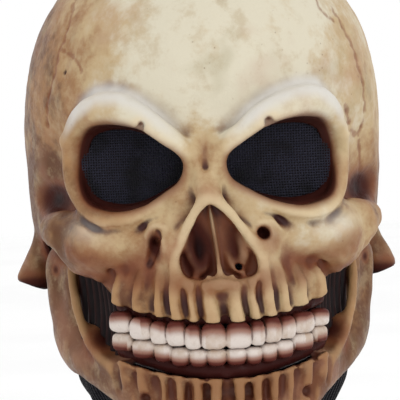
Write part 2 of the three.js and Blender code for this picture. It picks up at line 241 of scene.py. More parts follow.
class Clay:
    """A block worked form by form: its field is the distance to the surface, negative inside."""

    def __init__(self, low, high, step):
        self.step = step
        self.axes = [np.arange(a, b + step, step, dtype=np.float32) for a, b in zip(low, high)]
        self.low = np.array([a[0] for a in self.axes], float)
        self.field = np.full([len(a) for a in self.axes], 60.0, np.float32)

    def window(self, form, margin):
        part, where = [], []
        for k, axis in enumerate(self.axes):
            a = int(np.searchsorted(axis, form.low[k] - margin))
            b = int(np.searchsorted(axis, form.high[k] + margin))
            part.append(slice(a, max(b, a + 1)))
            shape = [1, 1, 1]
            shape[k] = -1
            where.append(axis[part[-1]].reshape(shape))
        return tuple(part), where

    def add(self, form, blend=4.0):
        """Join a form on, with a fillet of the size of blend."""
        part, where = self.window(form, blend + 8)
        a, b = self.field[part], form.distance(*where)
        self.field[part] = np.minimum(a, b) - fillet(a, b, blend)

    def cut(self, form, blend=2.0):
        part, where = self.window(form, blend + 8)
        a, b = self.field[part], -form.distance(*where)
        self.field[part] = np.maximum(a, b) + fillet(a, b, blend)

    def bead(self, blend, *stations, **more):
        self.add(rope(*stations, **more), blend)

    def groove(self, blend, *stations, **more):
        self.cut(rope(*stations, **more), blend)

    def both_sides(self):
        """The same clay with its x > 0 half on both sides."""
        keep = self.axes[0] > -1e-4
        half, x = self.field[keep], self.axes[0][keep]
        axes = [np.concatenate([-x[:0:-1], x]), self.axes[1], self.axes[2]]
        return self.made_of(axes, np.concatenate([half[:0:-1], half]))

    def like(self, field, part=None):
        """Clay on the same grid, or on a part of it, with another field."""
        axes = [a[s] for a, s in zip(self.axes, part)] if part else self.axes
        return self.made_of(axes, field)

    def made_of(self, axes, field):
        made = Clay.__new__(Clay)
        made.step, made.axes, made.field = self.step, axes, field
        made.low = np.array([a[0] for a in axes], float)
        return made

    def grid_points(self):
        return self.axes[0][:, None, None], self.axes[1][None, :, None], self.axes[2][None, None, :]

    def true_distance(self, reach):
        """The field measured again as a real distance, up to reach."""
        points, _, quads = polygons(self.field)
        level = openvdb.FloatGrid.createLevelSetFromPolygons(
            points, quads=quads, transform=openvdb.createLinearTransform(voxelSize=1.0),
            halfWidth=reach / self.step,
        )
        out = np.zeros(self.field.shape, np.float32)
        level.copyToArray(out)
        return out * self.step


def polygons(field):
    grid = openvdb.FloatGrid()
    limit = 60.0
    grid.background = limit
    grid.copyFromArray(np.clip(np.pad(field, 1, constant_values=limit), -limit, limit), tolerance=0.0)
    points, triangles, quads = grid.convertToPolygons(isovalue=0.0, adaptivity=0.0)
    return points - 1, triangles, quads


def sampled(clay, values, points):
    """A grid's values at points, with straight-line interpolation."""
    at = (points - clay.low) / clay.step
    top = np.array(values.shape) - 2
    cell = np.clip(np.floor(at).astype(int), 0, top)
    f = np.clip(at - cell, 0, 1)
    share = (1 - f, f)
    out = np.zeros(len(points))
    for i in (0, 1):
        for j in (0, 1):
            for k in (0, 1):
                weight = share[i][:, 0] * share[j][:, 1] * share[k][:, 2]
                out += weight * values[cell[:, 0] + i, cell[:, 1] + j, cell[:, 2] + k]
    return out


def blurred(values, radius):
    """Two box blurs along each axis, of that radius in grid steps."""
    n = max(1, int(round(radius)))
    out = values.astype(np.float32)
    for axis in range(3):
        for _ in range(2):
            pad = [(0, 0)] * 3
            pad[axis] = (n + 1, n)
            total = np.cumsum(np.pad(out, pad, mode="edge"), axis=axis, dtype=np.float32)
            upper = [slice(None)] * 3
            lower = [slice(None)] * 3
            upper[axis] = slice(2 * n + 1, None)
            lower[axis] = slice(0, -(2 * n + 1))
            out = (total[tuple(upper)] - total[tuple(lower)]) / (2 * n + 1)
    return out


def lumps(clay, spacing, seed):
    """Smooth random values from -1 to 1 over the clay, with features of the given spacing."""
    r = np.random.default_rng(seed)
    counts = [int(len(a) * clay.step / spacing) + 4 for a in clay.axes]
    knots = r.uniform(-1, 1, counts).astype(np.float32)
    for k, axis in enumerate(clay.axes):
        at = (axis - axis[0]) / spacing
        i = np.floor(at).astype(int)
        t = at - i
        t = t * t * (3 - 2 * t)
        shape = [1, 1, 1]
        shape[k] = -1
        t = t.reshape(shape)
        knots = np.take(knots, i, axis=k) * (1 - t) + np.take(knots, i + 1, axis=k) * t
    return knots


def smooth(a, b, v):
    t = np.clip((v - a) / (b - a), 0, 1)
    return t * t * (3 - 2 * t)


# ------------------------------------------------------------------ outlines of the openings
EYE_OUTLINE = eased(
    [
        (7.8, 217), (18, 225.5), (30, 232.5), (42, 235.6), (54.5, 235.4), (64, 231), (68.5, 220),
        (68.5, 205.5), (64, 196), (53, 192), (42, 191.4), (30, 194.3), (18.5, 199.8), (10, 206),
    ],
    closed=True,
)
NOSE_HALF = [
    (0, 192.5), (4.6, 189), (9.5, 182), (15, 173), (20, 164.5), (22, 158), (19, 151.5), (10, 149.5),
    (3, 151.5),
]
NOSE_OUTLINE = eased(NOSE_HALF + [(-x, z) for x, z in NOSE_HALF[:0:-1]], closed=True)


def arch_y(x, front):
    """Depth of the dental arch at x."""
    return front + ARCH * x * x


# ------------------------------------------------------------------ cranium casting
def skull_clay():
    clay = Clay((-3 * STEP, -134, 122), (118, 131, 349), STEP)
    clay.add(blob((0, 18, 232), (104, 106, 113), power=2.25), 1)
    clay.add(blob((0, -22, 262), (85, 90, 80)), 26)
    clay.add(blob((0, 22, 182), (96, 86, 70)), 20)
    # middle of the face
    clay.add(blob((0, -66, 205), (64, 42, 50)), 18)
    clay.add(blob((0, -82, 220), (38, 30, 24)), 12)
    clay.add(blob((0, -66, 158), (51, 48, 42), power=2.4), 14)
    clay.add(blob((0, -62, 141), (59, 55.5, 25), power=2.5), 8)
    # hollow of the temple behind the outer rim of the socket
    clay.cut(blob((97, -70, 205), (18, 36, 34)), 16)
    clay.cut(blob((98, -42, 196), (13, 30, 11)), 6)
    brows_and_rims(clay)
    nose_bones(clay)
    # cheekbone and its arch
    clay.add(blob((63, -79, 173), (22, 17, 17), turn=(0, 18, 24)), 9)
    clay.bead(6, (60, -84, 168, 9), (68, -80, 162, 7.5), (70.5, -78, 158.5, 5.8))
    clay.add(blob((57.5, -75, 157), (9, 9, 12)), 8)
    clay.bead(10, (46, -90, 172, 10), (34, -96, 165, 10))
    clay.bead(
        7, (76, -68, 178, 10), (86, -54, 179.5, 9), (88, -38, 180, 8), (88.5, -20, 180, 7),
        (88.5, -3, 181, 7), (88, 12, 186, 10),
    )
    clay.bead(
        5, (66, -77, 161, 8.5), (74, -71, 162.5, 8.5), (80.5, -66, 167.5, 8), (86, -60, 173.5, 7),
        (91, -48, 178, 6.5),
    )
    clay.add(blob((82, -62, 177), (11, 9, 11)), 6)
    # its ragged lower edge
    for x, y, z, size in (
        (66, -80, 153.5, 4.4), (72.5, -75, 156, 3.4), (77.5, -70, 158, 4.2), (82.5, -64, 165, 3.6),
    ):
        clay.add(blob((x, y, z), (size, size, size * 0.9)), 2.5)
    # flared lobe behind the jaw
    clay.bead(6, (91.5, 16, 180, 4), (97.3, 18, 163, 7.4), (101.4, 20, 148, 10.6))
    clay.cut(blob((100, 20, 128), (22, 24, 13), power=6, turn=(0, -21, 0)), 2)
    face_grooves(clay)
    sockets(clay)
    tooth_roots(clay, 1)
    return clay


def brows_and_rims(clay):
    clay.bead(
        6.5, (7.5, -113, 219, 4.4), (14, -115.5, 224, 5.8), (24, -115, 231, 7.4),
        (36, -110, 239.5, 8.8), (50, -101.5, 245.5, 9.4), (62, -92, 245.5, 8.8), (71, -83, 239, 7),
        (76, -77, 229, 5.6),
    )
    # rolled outer and lower rim of the socket
    clay.bead(
        3.2, (20, -107, 202, 3.4), (27, -107, 194, 4), (38, -104.5, 187.5, 4.4), (50, -100.5, 184, 4.8),
        (61.5, -94, 185, 5), (70, -86, 192, 5), (74.5, -79, 203, 5), (76, -75, 216, 5),
        (75.5, -76, 230, 5.4),
    )
    # bone behind its outer side, which carries the mesh
    clay.bead(
        5, (58, -77, 188, 6), (68, -72, 195, 6.5), (72, -70, 206, 6.5), (72.5, -69, 218, 6.5),
        (69, -72, 231, 6.5),
    )


def nose_bones(clay):
    """The bridge, the side walls and the rim of the pear-shaped opening."""
    clay.bead(8, (0, -108, 222, 8), (0, -112, 208, 8), (0, -118, 195, 7))
    clay.bead(8, (12, -104, 214, 7), (15, -104, 197, 7.5), (24, -102, 181, 8), (28, -103, 166, 8))
    clay.bead(
        4, (0, -121, 195, 3), (7, -119, 190, 3), (14, -115, 180, 3), (21, -111, 168, 3),
        (25, -110, 158, 3.2), (22, -112, 149.5, 3.2), (11, -117, 146.5, 3.2), (0, -120, 147.5, 3.6),
    )


def face_grooves(clay):
    # groove under the socket's lower rim
    clay.groove(
        3.5, (36, -108.5, 184, 0.7), (44, -106.5, 180.3, 1.5), (54, -102.5, 177.8, 2.3),
        (64, -97, 179, 2.6), (76, -86, 187, 2.4), (82, -76, 200, 1.8),
    )
    # hollow beside the canine root
    clay.cut(blob((43, -112, 156), (10, 14, 17), turn=(0, -14, 0)), 10)
    clay.bead(
        2, (22.5, -109, 172, 1.2), (26, -109.5, 179.5, 1.9), (33, -107, 180.5, 1.8),
        (37.5, -104, 175, 1.2),
    )
    # notch in the brow
    clay.groove(1.6, (34.5, -122, 237, 2), (35.5, -112, 236, 1.8))
    # creases between the brow ends and beside the bridge
    clay.groove(4, (0, -118, 212, 1.6), (0, -119, 220, 2.6), (0, -117, 230, 1.2), (0, -114, 240, 0.4))
    # temple line from the brow's outer end
    clay.groove(8, (80, -77, 238, 1.6), (84, -72, 252, 2.2), (84, -68, 268, 1.8), (80, -62, 288, 1))
    # pits behind the end of the arch
    clay.groove(3, (101, -6, 166, 2.4), (92, -4, 167, 2.4))


def sockets(clay):
    eye = (EYE_TILT, EYE_CENTRE, EYE_PLANE)
    clay.cut(drilled(EYE_OUTLINE, -60, EYE_FLOOR, *eye, grow=5.0, flare=-0.1), 3.0)
    clay.cut(drilled(NOSE_OUTLINE, -134, NOSE_FLOOR, grow=-0.8, flare=0.03), 2.2)
    # partition and shells inside the nose
    clay.bead(
        1.5, (0, -115, 190, 0.6), (0.6, -112.5, 178, 0.7), (0, -110.5, 164, 1.1), (0, -114, 149, 2.6),
    )
    clay.add(blob((0, -105, 168), (1, 6, 24), power=4), 1.2)
    clay.bead(3, (13, -106, 174, 2), (15, -107, 165, 3), (13, -107, 158, 2.6))
    clay.bead(3, (6, -106, 163, 1.5), (8, -107, 156, 2.2), (13, -108, 152.5, 2))


def tooth_roots(clay, up):
    """Root ridges with grooves between them: up is 1 on the upper jaw and -1 on the lower."""
    front = -121.5 if up > 0 else -117.5
    edge = UPPER_BONE if up > 0 else LOWER_BONE
    heights = (24, 20, 34, 25, 23, 20) if up > 0 else (24, 25, 26, 25, 24, 19)
    for n, (a, b, tall) in enumerate(zip(ROOT_EDGES[:-1], ROOT_EDGES[1:], heights)):
        mid = (a + b) / 2 + 0.5 * math.sin(5 * n + up)
        girth = 1 + 0.14 * math.sin(3.7 * n + up)
        foot = edge + SMILE * mid * mid
        y = arch_y(mid, front) + 3.4
        lean_in = 0.9 if up > 0 else 0.95
        clay.bead(
            2.2, (mid, y, foot + up * 1, 4.1 * girth),
            (mid * 0.98 + 0.4, y + 0.2, foot + up * tall * 0.5, 3.6 * girth),
            (mid * lean_in, y + 3.6, foot + up * tall, 1.8),
        )
        foot = edge + SMILE * b * b
        y = arch_y(b, front) + 0.6
        clay.groove(
            2, (b, y, foot + up * 2, 3.2), (b * 0.985, y + 0.4, foot + up * tall * 0.5, 3.1),
            (b * 0.95, y + 2, foot + up * tall * 0.95, 1.6),
        )
    if up < 0:
        lip = []
        for x in range(-4, 62, 3):
            wave = 1.6 + 0.7 * math.sin(1.3 * x)
            lip.append((x, arch_y(x, front) + 2.0, edge + SMILE * x * x + up * wave, 1.3))
        clay.bead(1.8, *lip, per_span=2)
    # groove on the middle line
    clay.groove(2, (0, front + 0.4, edge + up * 2, 2.6), (0, front + 0.6, edge + up * 13, 2))


def scallop(far, amount):
    """How far the bone's edge draws back over each root."""
    phase = np.interp(far, ROOT_EDGES, np.arange(7.0))
    return amount * (0.5 - np.abs(phase - np.round(phase))) ** 2


def below_skull(clay):
    """Height over the casting's lower edge: bone edge, cheek, arch, ear and nape. Negative is open."""
    x, y, z = clay.grid_points()
    far = np.abs(x)
    bone = UPPER_BONE - 1 + SMILE * np.minimum(far, 64) ** 2 + scallop(far, 5.0)
    side = np.interp(
        y, [-134, -84, -72, -64, -58, 3, 6, 9, 40, 140],
        [120, 134, 140, 148, 169.5, 169.5, 152, 141, 131, 131],
    )
    edge = np.where(y < -84, bone, np.maximum(side, np.where(y < -66, bone, 0)))
    return z - edge


def crack(clay, depth_of, *points, width=1.5):
    """A groove along (x, z) points, laid on the front of the clay."""
    stations = []
    for i, (x, z) in enumerate(eased(points, 5)):
        stations.append((x, depth_of(x, z) - width * 0.3, z, width * (0.55 + 0.45 * math.sin(i * 2.1))))
    form = rope(*stations, per_span=1)
    clay.cut(form, 1)
    CRACKS.append(form)


def one_sided(clay):
    """The marks that differ between the sides: holes under the sockets, cracks, dent and pits."""
    inside = clay.field < 0
    first = clay.axes[1][inside.argmax(axis=1)]

    def depth_of(x, z):
        i = int(round((x - clay.low[0]) / clay.step))
        k = int(round((z - clay.low[2]) / clay.step))
        return float(first[i, k])

    slit = [
        (x, depth_of(x, z) + 0.5, z, r)
        for x, z, r in ((-31.5, 177, 2.4), (-33, 171, 3.6), (-35.5, 165, 3), (-38, 158, 1.4))
    ]
    clay.groove(1.6, *slit)
    clay.groove(2, (-33, depth_of(-33, 171), 171, 2.6), (-32, depth_of(-33, 171) + 7, 172, 2.2))
    front = depth_of(27.5, 175)
    clay.groove(2.5, (27.5, front - 1, 174.5, 3.5), (27, front + 8, 173.5, 3))
    crack(clay, depth_of, (73.6, 298), (80, 285), (83.4, 277), (86.9, 265), (90, 252), (91, 239))
    crack(clay, depth_of, (79.4, 242.5), (82.3, 228), (87, 226), (90.5, 233.5), width=1.8)
    crack(clay, depth_of, (87, 222), (88, 202), (86.4, 193))
    crack(clay, depth_of, (62, 306), (66, 296), (73, 291), width=1)
    crack(
        clay, depth_of, (-74, 306), (-78.7, 289), (-82.7, 281), (-85.6, 269), (-90.3, 252), (-91, 238),
    )
    crack(clay, depth_of, (-82, 281), (-74, 275), (-70, 268), width=1)
    crack(clay, depth_of, (-62, 316), (-70, 312), (-74, 306), width=1.1)
    # dent down the forehead
    clay.groove(9, *[(x, depth_of(x, z) - 7, z, 4) for x, z in ((10, 308), (13, 298), (12, 285))])
    for x, z, size in (
        (-79.8, 267.5, 1.7), (57, 261.5, 1.3), (-66, 300, 1), (30, 296, 0.8), (-20, 282, 0.7),
    ):
        clay.cut(blob((x, depth_of(x, z), z), (size, 1.2, size)), 1)


# ------------------------------------------------------------------ jaw casting
def jaw_clay():
    clay = Clay((-3 * STEP, -127, 50), (101, 12, 192), STEP)
    clay.add(blob((0, -54, 98), (64, 58, 26)), 1)
    clay.bead(
        8, (0, -97, 74, 14), (34, -88, 80.5, 13.5), (57, -62, 93.5, 12), (72, -36, 105, 12),
        (77.5, -14, 116, 11),
    )
    clay.add(blob((0, -104, 70), (26, 14, 12)), 8)
    clay.add(blob((76, -12, 134), (16.5, 27, 44)), 9)
    clay.add(blob((82, -10, 146), (11.5, 18, 20)), 9)
    clay.add(blob((84, -8, 154.5), (10.5, 15, 13.5)), 5)
    clay.bead(6, (77, -15, 160, 9.5), (77.4, -12, 172, 9), (77.6, -12, 181, 9))
    # front ridge of the ramus, running down into the body
    clay.bead(
        4, (80.5, -36, 160, 2.6), (80.5, -41, 146, 2.7), (78.5, -48, 132, 2.8), (75.5, -54, 120, 2.8),
        (71, -63, 110, 2.8), (62, -76, 101, 2.8), (50, -92, 95, 2.6),
    )
    # slope inside the ridge
    clay.bead(6, (70, -50, 118, 5.5), (63, -64, 103, 6), (52, -80, 94, 6))
    clay.groove(9, (93, -27, 150, 5), (92, -33, 132, 5.5), (86, -48, 116, 4.5), (76, -66, 100, 3))
    tooth_roots(clay, -1)
    # holes beside the chin and in the ramus
    clay.groove(2, (46.5, -106, 85, 3.1), (45, -92, 84, 3))
    clay.groove(1.5, (89, -36, 158, 1.4), (91, -28, 151, 1.8))
    return clay


def open_jaw(clay, shell):
    """The jaw's wall, open above between the cheeks, and behind."""
    x, y, z = clay.grid_points()
    far = np.abs(x)
    bone = LOWER_BONE + SMILE * np.minimum(far, 64) ** 2 - scallop(far, 4.0)
    ridge = np.interp(y, [-134, -96, -84, -66, -56, -46], [0, 0, 114, 126, 142, 400])
    shell = np.maximum(shell, z - np.maximum(bone, ridge))
    room = np.sqrt((x / 71) ** 2 + ((y + 10) / 91) ** 2)
    shell = np.maximum(shell, np.minimum((1 - room) * 60, z - 76))
    rear = np.interp(z, [50, 66, 88, 104, 130, 172, 187], [-90, -76, -24, -9, -4.5, -0.5, 0])
    return np.maximum(shell, np.maximum((y - rear) * 0.8, z - 187))


# ------------------------------------------------------------------ meshes
def linked(name, data):
    """An object of the data, in the scene."""
    made = bpy.data.objects.new(name, data)
    bpy.context.scene.collection.objects.link(made)
    return made


def mesh_object(name, points, faces):
    mesh = bpy.data.meshes.new(name)
    mesh.from_pydata((points * MM).tolist(), [], faces.tolist())
    mesh.update()
    return linked(name, mesh)


def fast_mesh(name, points, quads):
    """The same for a large mesh of quads."""
    mesh = bpy.data.meshes.new(name)
    mesh.vertices.add(len(points))
    mesh.vertices.foreach_set("co", (points * MM).astype(np.float32).ravel())
    mesh.loops.add(quads.size)
    mesh.loops.foreach_set("vertex_index", quads.astype(np.int32).ravel())
    mesh.polygons.add(len(quads))
    mesh.polygons.foreach_set("loop_start", (np.arange(len(quads)) * 4).astype(np.int32))
    mesh.update(calc_edges=True)
    mesh.validate()
    return linked(name, mesh)


def apply_modifiers(piece):
    shown = piece.evaluated_get(bpy.context.evaluated_depsgraph_get())
    mesh = bpy.data.meshes.new_from_object(shown)
    piece.modifiers.clear()
    old = piece.data
    piece.data = mesh
    bpy.data.meshes.remove(old)


def biggest_part(points, quads):
    """Only the faces joined to the biggest piece, so that no crumbs are left."""
    label = np.arange(len(points))
    while True:
        low = label[quads].min(1)
        new = label.copy()
        for k in range(4):
            np.minimum.at(new, quads[:, k], low)
        new = new[new]
        if (new == label).all():
            break
        label = new
    roots = label[quads[:, 0]]
    names, counts = np.unique(roots, return_counts=True)
    keep = quads[roots == names[counts.argmax()]]
    used, index = np.unique(keep, return_inverse=True)
    return points[used], index.reshape(-1, 4)


def cast_mesh(name, clay, field, most_faces=CASTING_FACES):
    points, _, quads = polygons(field)
    points, quads = biggest_part(points, quads)
    points = clay.low + points * clay.step
    piece = fast_mesh(name, points, quads)
    faces = 2 * len(quads)
    if faces > most_faces:
        thin = piece.modifiers.new("thin", "DECIMATE")
        thin.ratio = most_faces / faces * 0.98
        apply_modifiers(piece)
    piece.data.shade_smooth()
    return piece


def vertices_mm(piece):
    out = np.zeros(len(piece.data.vertices) * 3, np.float32)
    piece.data.vertices.foreach_get("co", out)
    return out.reshape(-1, 3).astype(float) / MM


def set_vertices_mm(piece, points):
    piece.data.vertices.foreach_set("co", (points * MM).astype(np.float32).ravel())
    piece.data.update()


def normals(piece):
    out = np.zeros(len(piece.data.vertices) * 3, np.float32)
    piece.data.vertices.foreach_get("normal", out)
    return out.reshape(-1, 3).astype(float)


def give(piece, name, values):
    """A value per vertex that the paint reads."""
    layer = piece.data.attributes.new(name, "FLOAT", "POINT")
    layer.data.foreach_set("value", np.asarray(values, np.float32))


def read_hollows(piece, clay, solid, points):
    """How deep each vertex lies among its surroundings, at three scales: 0 proud, 1 sunk."""
    filled = np.clip(0.5 - solid / clay.step, 0, 1)
    n = normals(piece)
    for name, radius, lift in (("fine", 2.4, 0.6), ("mid", 6.0, 1.2), ("wide", 15.0, 2.5)):
        around = blurred(filled, radius / clay.step)
        give(piece, name, sampled(clay, around, points + n * lift))


# ------------------------------------------------------------------ paint
def srgb(r, g, b):
    """A colour picked in 8-bit steps, as the linear values that a shader takes."""
    return tuple(
        c / 255 / 12.92 if c <= 10 else ((c / 255 + 0.055) / 1.055) ** 2.4 for c in (r, g, b)
    ) + (1.0,)


class Paint:
    """One node material, built from its shader back to its patterns."""

    def __init__(self, name, roughness, metallic=0.0):
        self.material = bpy.data.materials.new(name)
        self.material.use_nodes = True
        self.tree = self.material.node_tree
        self.shader = self.tree.nodes["Principled BSDF"]
        self.shader.inputs["Roughness"].default_value = roughness
        self.shader.inputs["Metallic"].default_value = metallic

    def node(self, kind, values=None, **settings):
        made = self.tree.nodes.new(kind)
        for key, value in settings.items():
            setattr(made, key, value)
        for key, value in (values or {}).items():
            self.plug(made.inputs[key], value)
        return made

    def plug(self, socket, value):
        if isinstance(value, bpy.types.NodeSocket):
            self.tree.links.new(value, socket)
        else:
            socket.default_value = value

    def place(self):
        return self.node("ShaderNodeTexCoord").outputs["Object"]

    def attribute(self, name):
        return self.node("ShaderNodeAttribute", attribute_name=name).outputs["Fac"]

    def noise(self, scale, detail=3.0, roughness=0.55, distortion=0.0):
        values = {
            "Vector": self.place(), "Scale": scale, "Detail": detail, "Roughness": roughness,
            "Distortion": distortion,
        }
        return self.node("ShaderNodeTexNoise", values).outputs["Fac"]

    def cells(self, scale):
        values = {"Vector": self.place(), "Scale": scale}
        return self.node("ShaderNodeTexVoronoi", values).outputs["Distance"]

    def math(self, operation, a, b=0.0):
        return self.node("ShaderNodeMath", {0: a, 1: b}, operation=operation).outputs[0]

    def rise(self, value, low, high, to_low=0.0, to_high=1.0):
        values = {0: value, 1: low, 2: high, 3: to_low, 4: to_high}
        return self.node("ShaderNodeMapRange", values, interpolation_type="SMOOTHSTEP").outputs[0]

    def mix(self, a, b, share):
        made = self.node("ShaderNodeMix", data_type="RGBA")
        self.plug(made.inputs[0], share)
        self.plug(made.inputs[6], a)
        self.plug(made.inputs[7], b)
        return made.outputs[2]

    def relief(self, height, distance, strength=1.0):
        made = self.node(
            "ShaderNodeBump", {"Strength": strength, "Distance": distance, "Height": height},
        )
        self.plug(self.shader.inputs["Normal"], made.outputs["Normal"])

    def finish(self, colour, roughness=None):
        self.plug(self.shader.inputs["Base Color"], colour)
        if roughness is not None:
            self.plug(self.shader.inputs["Roughness"], roughness)
        return self.material


def bone_paint():
    """Latex sponged from cream to ochre, brown in the hollows with a wash and with painted shade, and
    brushed pale on the ridges; painted shade on the sides and lower down, and painted highlights on the
    brows, temple and cheekbone.
    """
    paint = Paint("painted_latex", 0.5)
    fine, mid, wide = (paint.attribute(n) for n in ("fine", "mid", "wide"))
    tone_and_shade, painted_shade, painted_highlight, inner = (paint.attribute(n) for n in ("tone_and_shade", "painted_shade", "painted_highlight", "inner"))
    cloud = paint.noise(30, 4, 0.6)
    blot = paint.noise(110, 4, 0.65)
    grain = paint.noise(420, 3, 0.6)
    # sponged ground coat, darker where the paint is browner and where shade is painted: towards the
    # sides, lower down, towards the back and on the mask's right
    shade = paint.math("ADD", tone_and_shade, paint.rise(cloud, 0.3, 0.72, -0.13, 0.15))
    shade = paint.math("ADD", shade, paint.rise(blot, 0.35, 0.7, -0.07, 0.07))
    colour = paint.mix(srgb(212, 204, 182), srgb(188, 163, 124), paint.rise(shade, 0.1, 0.45))
    colour = paint.mix(colour, srgb(154, 114, 75), paint.rise(shade, 0.4, 0.7))
    colour = paint.mix(colour, srgb(98, 61, 35), paint.rise(shade, 0.64, 0.96))
    # finer mottling, then rosy and olive patches
    mottle = paint.math("MULTIPLY", paint.rise(paint.noise(62, 5, 0.7), 0.47, 0.68), 0.42)
    colour = paint.mix(colour, srgb(178, 156, 120), mottle)
    colour = paint.mix(colour, srgb(170, 122, 98), paint.rise(paint.noise(24, 2), 0.52, 0.74, 0.0, 0.4))
    colour = paint.mix(
        colour, srgb(146, 134, 94), paint.rise(paint.noise(31, 2, 0.5, 0.4), 0.56, 0.78, 0.0, 0.3),
    )
    # brown wash in the hollows, partly painted shade, deepening to near-black maroon in the creases
    mid_hollow = paint.math("ADD", mid, paint.rise(blot, 0.3, 0.7, -0.02, 0.02))
    wash_and_shade_strength = paint.rise(tone_and_shade, 0.12, 0.42, 0.25, 1.0)
    for hollow, tone, low, high, most in (
        (mid_hollow, srgb(106, 62, 42), 0.44, 0.58, 0.88),
        (wide, srgb(124, 70, 48), 0.45, 0.57, 0.65),
        (wide, srgb(70, 34, 30), 0.55, 0.67, 0.8),
        (fine, srgb(52, 21, 23), 0.45, 0.57, 0.94),
    ):
        colour = paint.mix(
            colour, tone, paint.math("MULTIPLY", paint.rise(hollow, low, high, 0.0, most), wash_and_shade_strength),
        )
    # specks left in the pores
    specks = paint.math(
        "MULTIPLY", paint.rise(paint.cells(240), 0.05, 0.16, 1.0, 0.0), paint.rise(cloud, 0.5, 0.66),
    )
    colour = paint.mix(colour, srgb(96, 62, 42), paint.math("MULTIPLY", specks, 0.45))
    # dry brushing on what stands proud
    proud = paint.math(
        "MULTIPLY", paint.rise(fine, 0.27, 0.39, 1.0, 0.0), paint.rise(painted_shade, 0.3, 0.7, 1.0, 0.1),
    )
    brush = paint.mix(srgb(216, 196, 160), srgb(180, 140, 96), paint.rise(tone_and_shade, 0.35, 0.85))
    colour = paint.mix(colour, brush, paint.math("MULTIPLY", proud, 0.62))
    # painted highlight: near-white on the brow crests, a patch at the temple and one on the cheekbone
    colour = paint.mix(
        colour, srgb(214, 211, 205),
        paint.math("MULTIPLY", painted_highlight, paint.rise(cloud, 0.2, 0.6, 0.6, 0.95)),
    )
    # painted shade: orange-brown deepening to near-black maroon in the deepest places, and the inside of
    # the casting painted dark brown as shade
    colour = paint.mix(colour, srgb(126, 72, 46), paint.rise(painted_shade, 0.04, 0.34, 0.0, 0.7))
    colour = paint.mix(colour, srgb(62, 27, 23), paint.rise(painted_shade, 0.22, 0.62, 0.0, 0.94))
    colour = paint.mix(colour, srgb(25, 12, 13), paint.rise(painted_shade, 0.6, 1.0, 0.0, 0.95))
    colour = paint.mix(colour, srgb(40, 30, 26), inner)
    height = paint.math("ADD", paint.math("MULTIPLY", grain, 0.5), blot)
    height = paint.math("SUBTRACT", height, paint.math("MULTIPLY", specks, 0.5))
    paint.relief(height, 0.0007, 0.55)
    gloss = paint.math(
        "ADD", paint.rise(grain, 0.3, 0.7, 0.36, 0.52), paint.rise(painted_highlight, 0.0, 1.0, 0.05, 0.0),
    )
    paint.plug(paint.shader.inputs["Specular IOR Level"], paint.rise(painted_shade, 0.05, 0.7, 0.24, 0.03))
    return paint.finish(colour, paint.math("SUBTRACT", gloss, paint.rise(painted_shade, 0.3, 0.9, 0.0, 0.12)))


def tooth_paint():
    paint = Paint("tooth_enamel", 0.3)
    gum, fine, tint = (paint.attribute(n) for n in ("gum", "fine", "tint"))
    cloud = paint.noise(160, 3)
    colour = paint.mix(
        srgb(212, 200, 191), srgb(184, 162, 142), paint.rise(paint.math("ADD", cloud, tint), 0.3, 0.9),
    )
    # crowns brown towards the gum, and dark maroon gums; the near-black at the gum line and on the
    # crowns' backs and the dark lines between the crowns are partly painted shade, under the bone's edge
    # and between the teeth
    colour = paint.mix(colour, srgb(140, 92, 74), paint.rise(gum, 0.0, 0.5, 0.0, 0.92))
    colour = paint.mix(colour, srgb(88, 42, 35), paint.rise(gum, 0.45, 0.8))
    colour = paint.mix(colour, srgb(84, 56, 46), paint.rise(fine, 0.46, 0.6, 0.0, 0.9))
    colour = paint.mix(colour, srgb(62, 27, 24), paint.rise(gum, 0.85, 1.0))
    paint.relief(paint.noise(500, 3), 0.0003, 0.4)
    paint.plug(paint.shader.inputs["Coat Weight"], paint.rise(gum, 0.2, 0.6, 0.25, 0.0))
    paint.plug(paint.shader.inputs["Specular IOR Level"], paint.rise(gum, 0.3, 0.8, 0.45, 0.06))
    return paint.finish(colour, paint.rise(paint.noise(300, 2), 0.3, 0.7, 0.24, 0.4))


def knit_paint(name, colour, fleck, ribs):
    """Jersey: columns of stitches along the cloth, from its own measure across and along (mm)."""
    paint = Paint(name, 0.95)
    across, along = paint.attribute("across"), paint.attribute("along")
    rib = paint.math("SINE", paint.math("MULTIPLY", across, 2 * math.pi / ribs))
    loop = paint.math("SINE", paint.math("MULTIPLY", along, 2 * math.pi / (ribs * 0.7)))
    height = paint.math("ADD", rib, paint.math("MULTIPLY", loop, 0.5))
    shade = paint.math(
        "MULTIPLY", paint.rise(height, -1.0, 1.4), paint.rise(paint.noise(90, 3), 0.3, 0.7, 0.4, 1.0),
    )
    paint.relief(height, 0.0005, 0.7)
    paint.shader.inputs["Specular IOR Level"].default_value = 0.12
    paint.shader.inputs["Sheen Weight"].default_value = 0.06
    return paint.finish(paint.mix(colour, fleck, shade), paint.rise(shade, 0.0, 1.0, 0.98, 0.82))


def thread_paint():
    paint = Paint("woven_mesh", 0.8)
    fibre = paint.noise(1400, 2)
    paint.relief(fibre, 0.0002, 0.5)
    colour = paint.mix(srgb(27, 26, 38), srgb(52, 52, 70), paint.rise(fibre, 0.35, 0.75))
    return paint.finish(paint.mix(colour, srgb(18, 17, 24), paint.rise(paint.noise(60, 2), 0.45, 0.7)))


def gusset_paint():
    paint = Paint("painted_stretch", 0.6)
    fold = paint.attribute("fold")
    blot = paint.noise(170, 4)
    # near-black maroon stretch paint, made darker still as painted shade of the cheek recess, and
    # lighter on the pleat crests
    colour = paint.mix(
        srgb(18, 7, 9), srgb(34, 13, 13),
        paint.rise(paint.math("ADD", fold, paint.math("MULTIPLY", blot, 0.5)), 0.7, 1.4),
    )
    colour = paint.mix(colour, srgb(74, 36, 28), paint.rise(fold, 0.85, 1.0, 0.0, 0.12))
    paint.relief(paint.noise(700, 3), 0.0004, 0.5)
    paint.shader.inputs["Specular IOR Level"].default_value = 0.15
    return paint.finish(colour, paint.rise(blot, 0.3, 0.7, 0.42, 0.6))


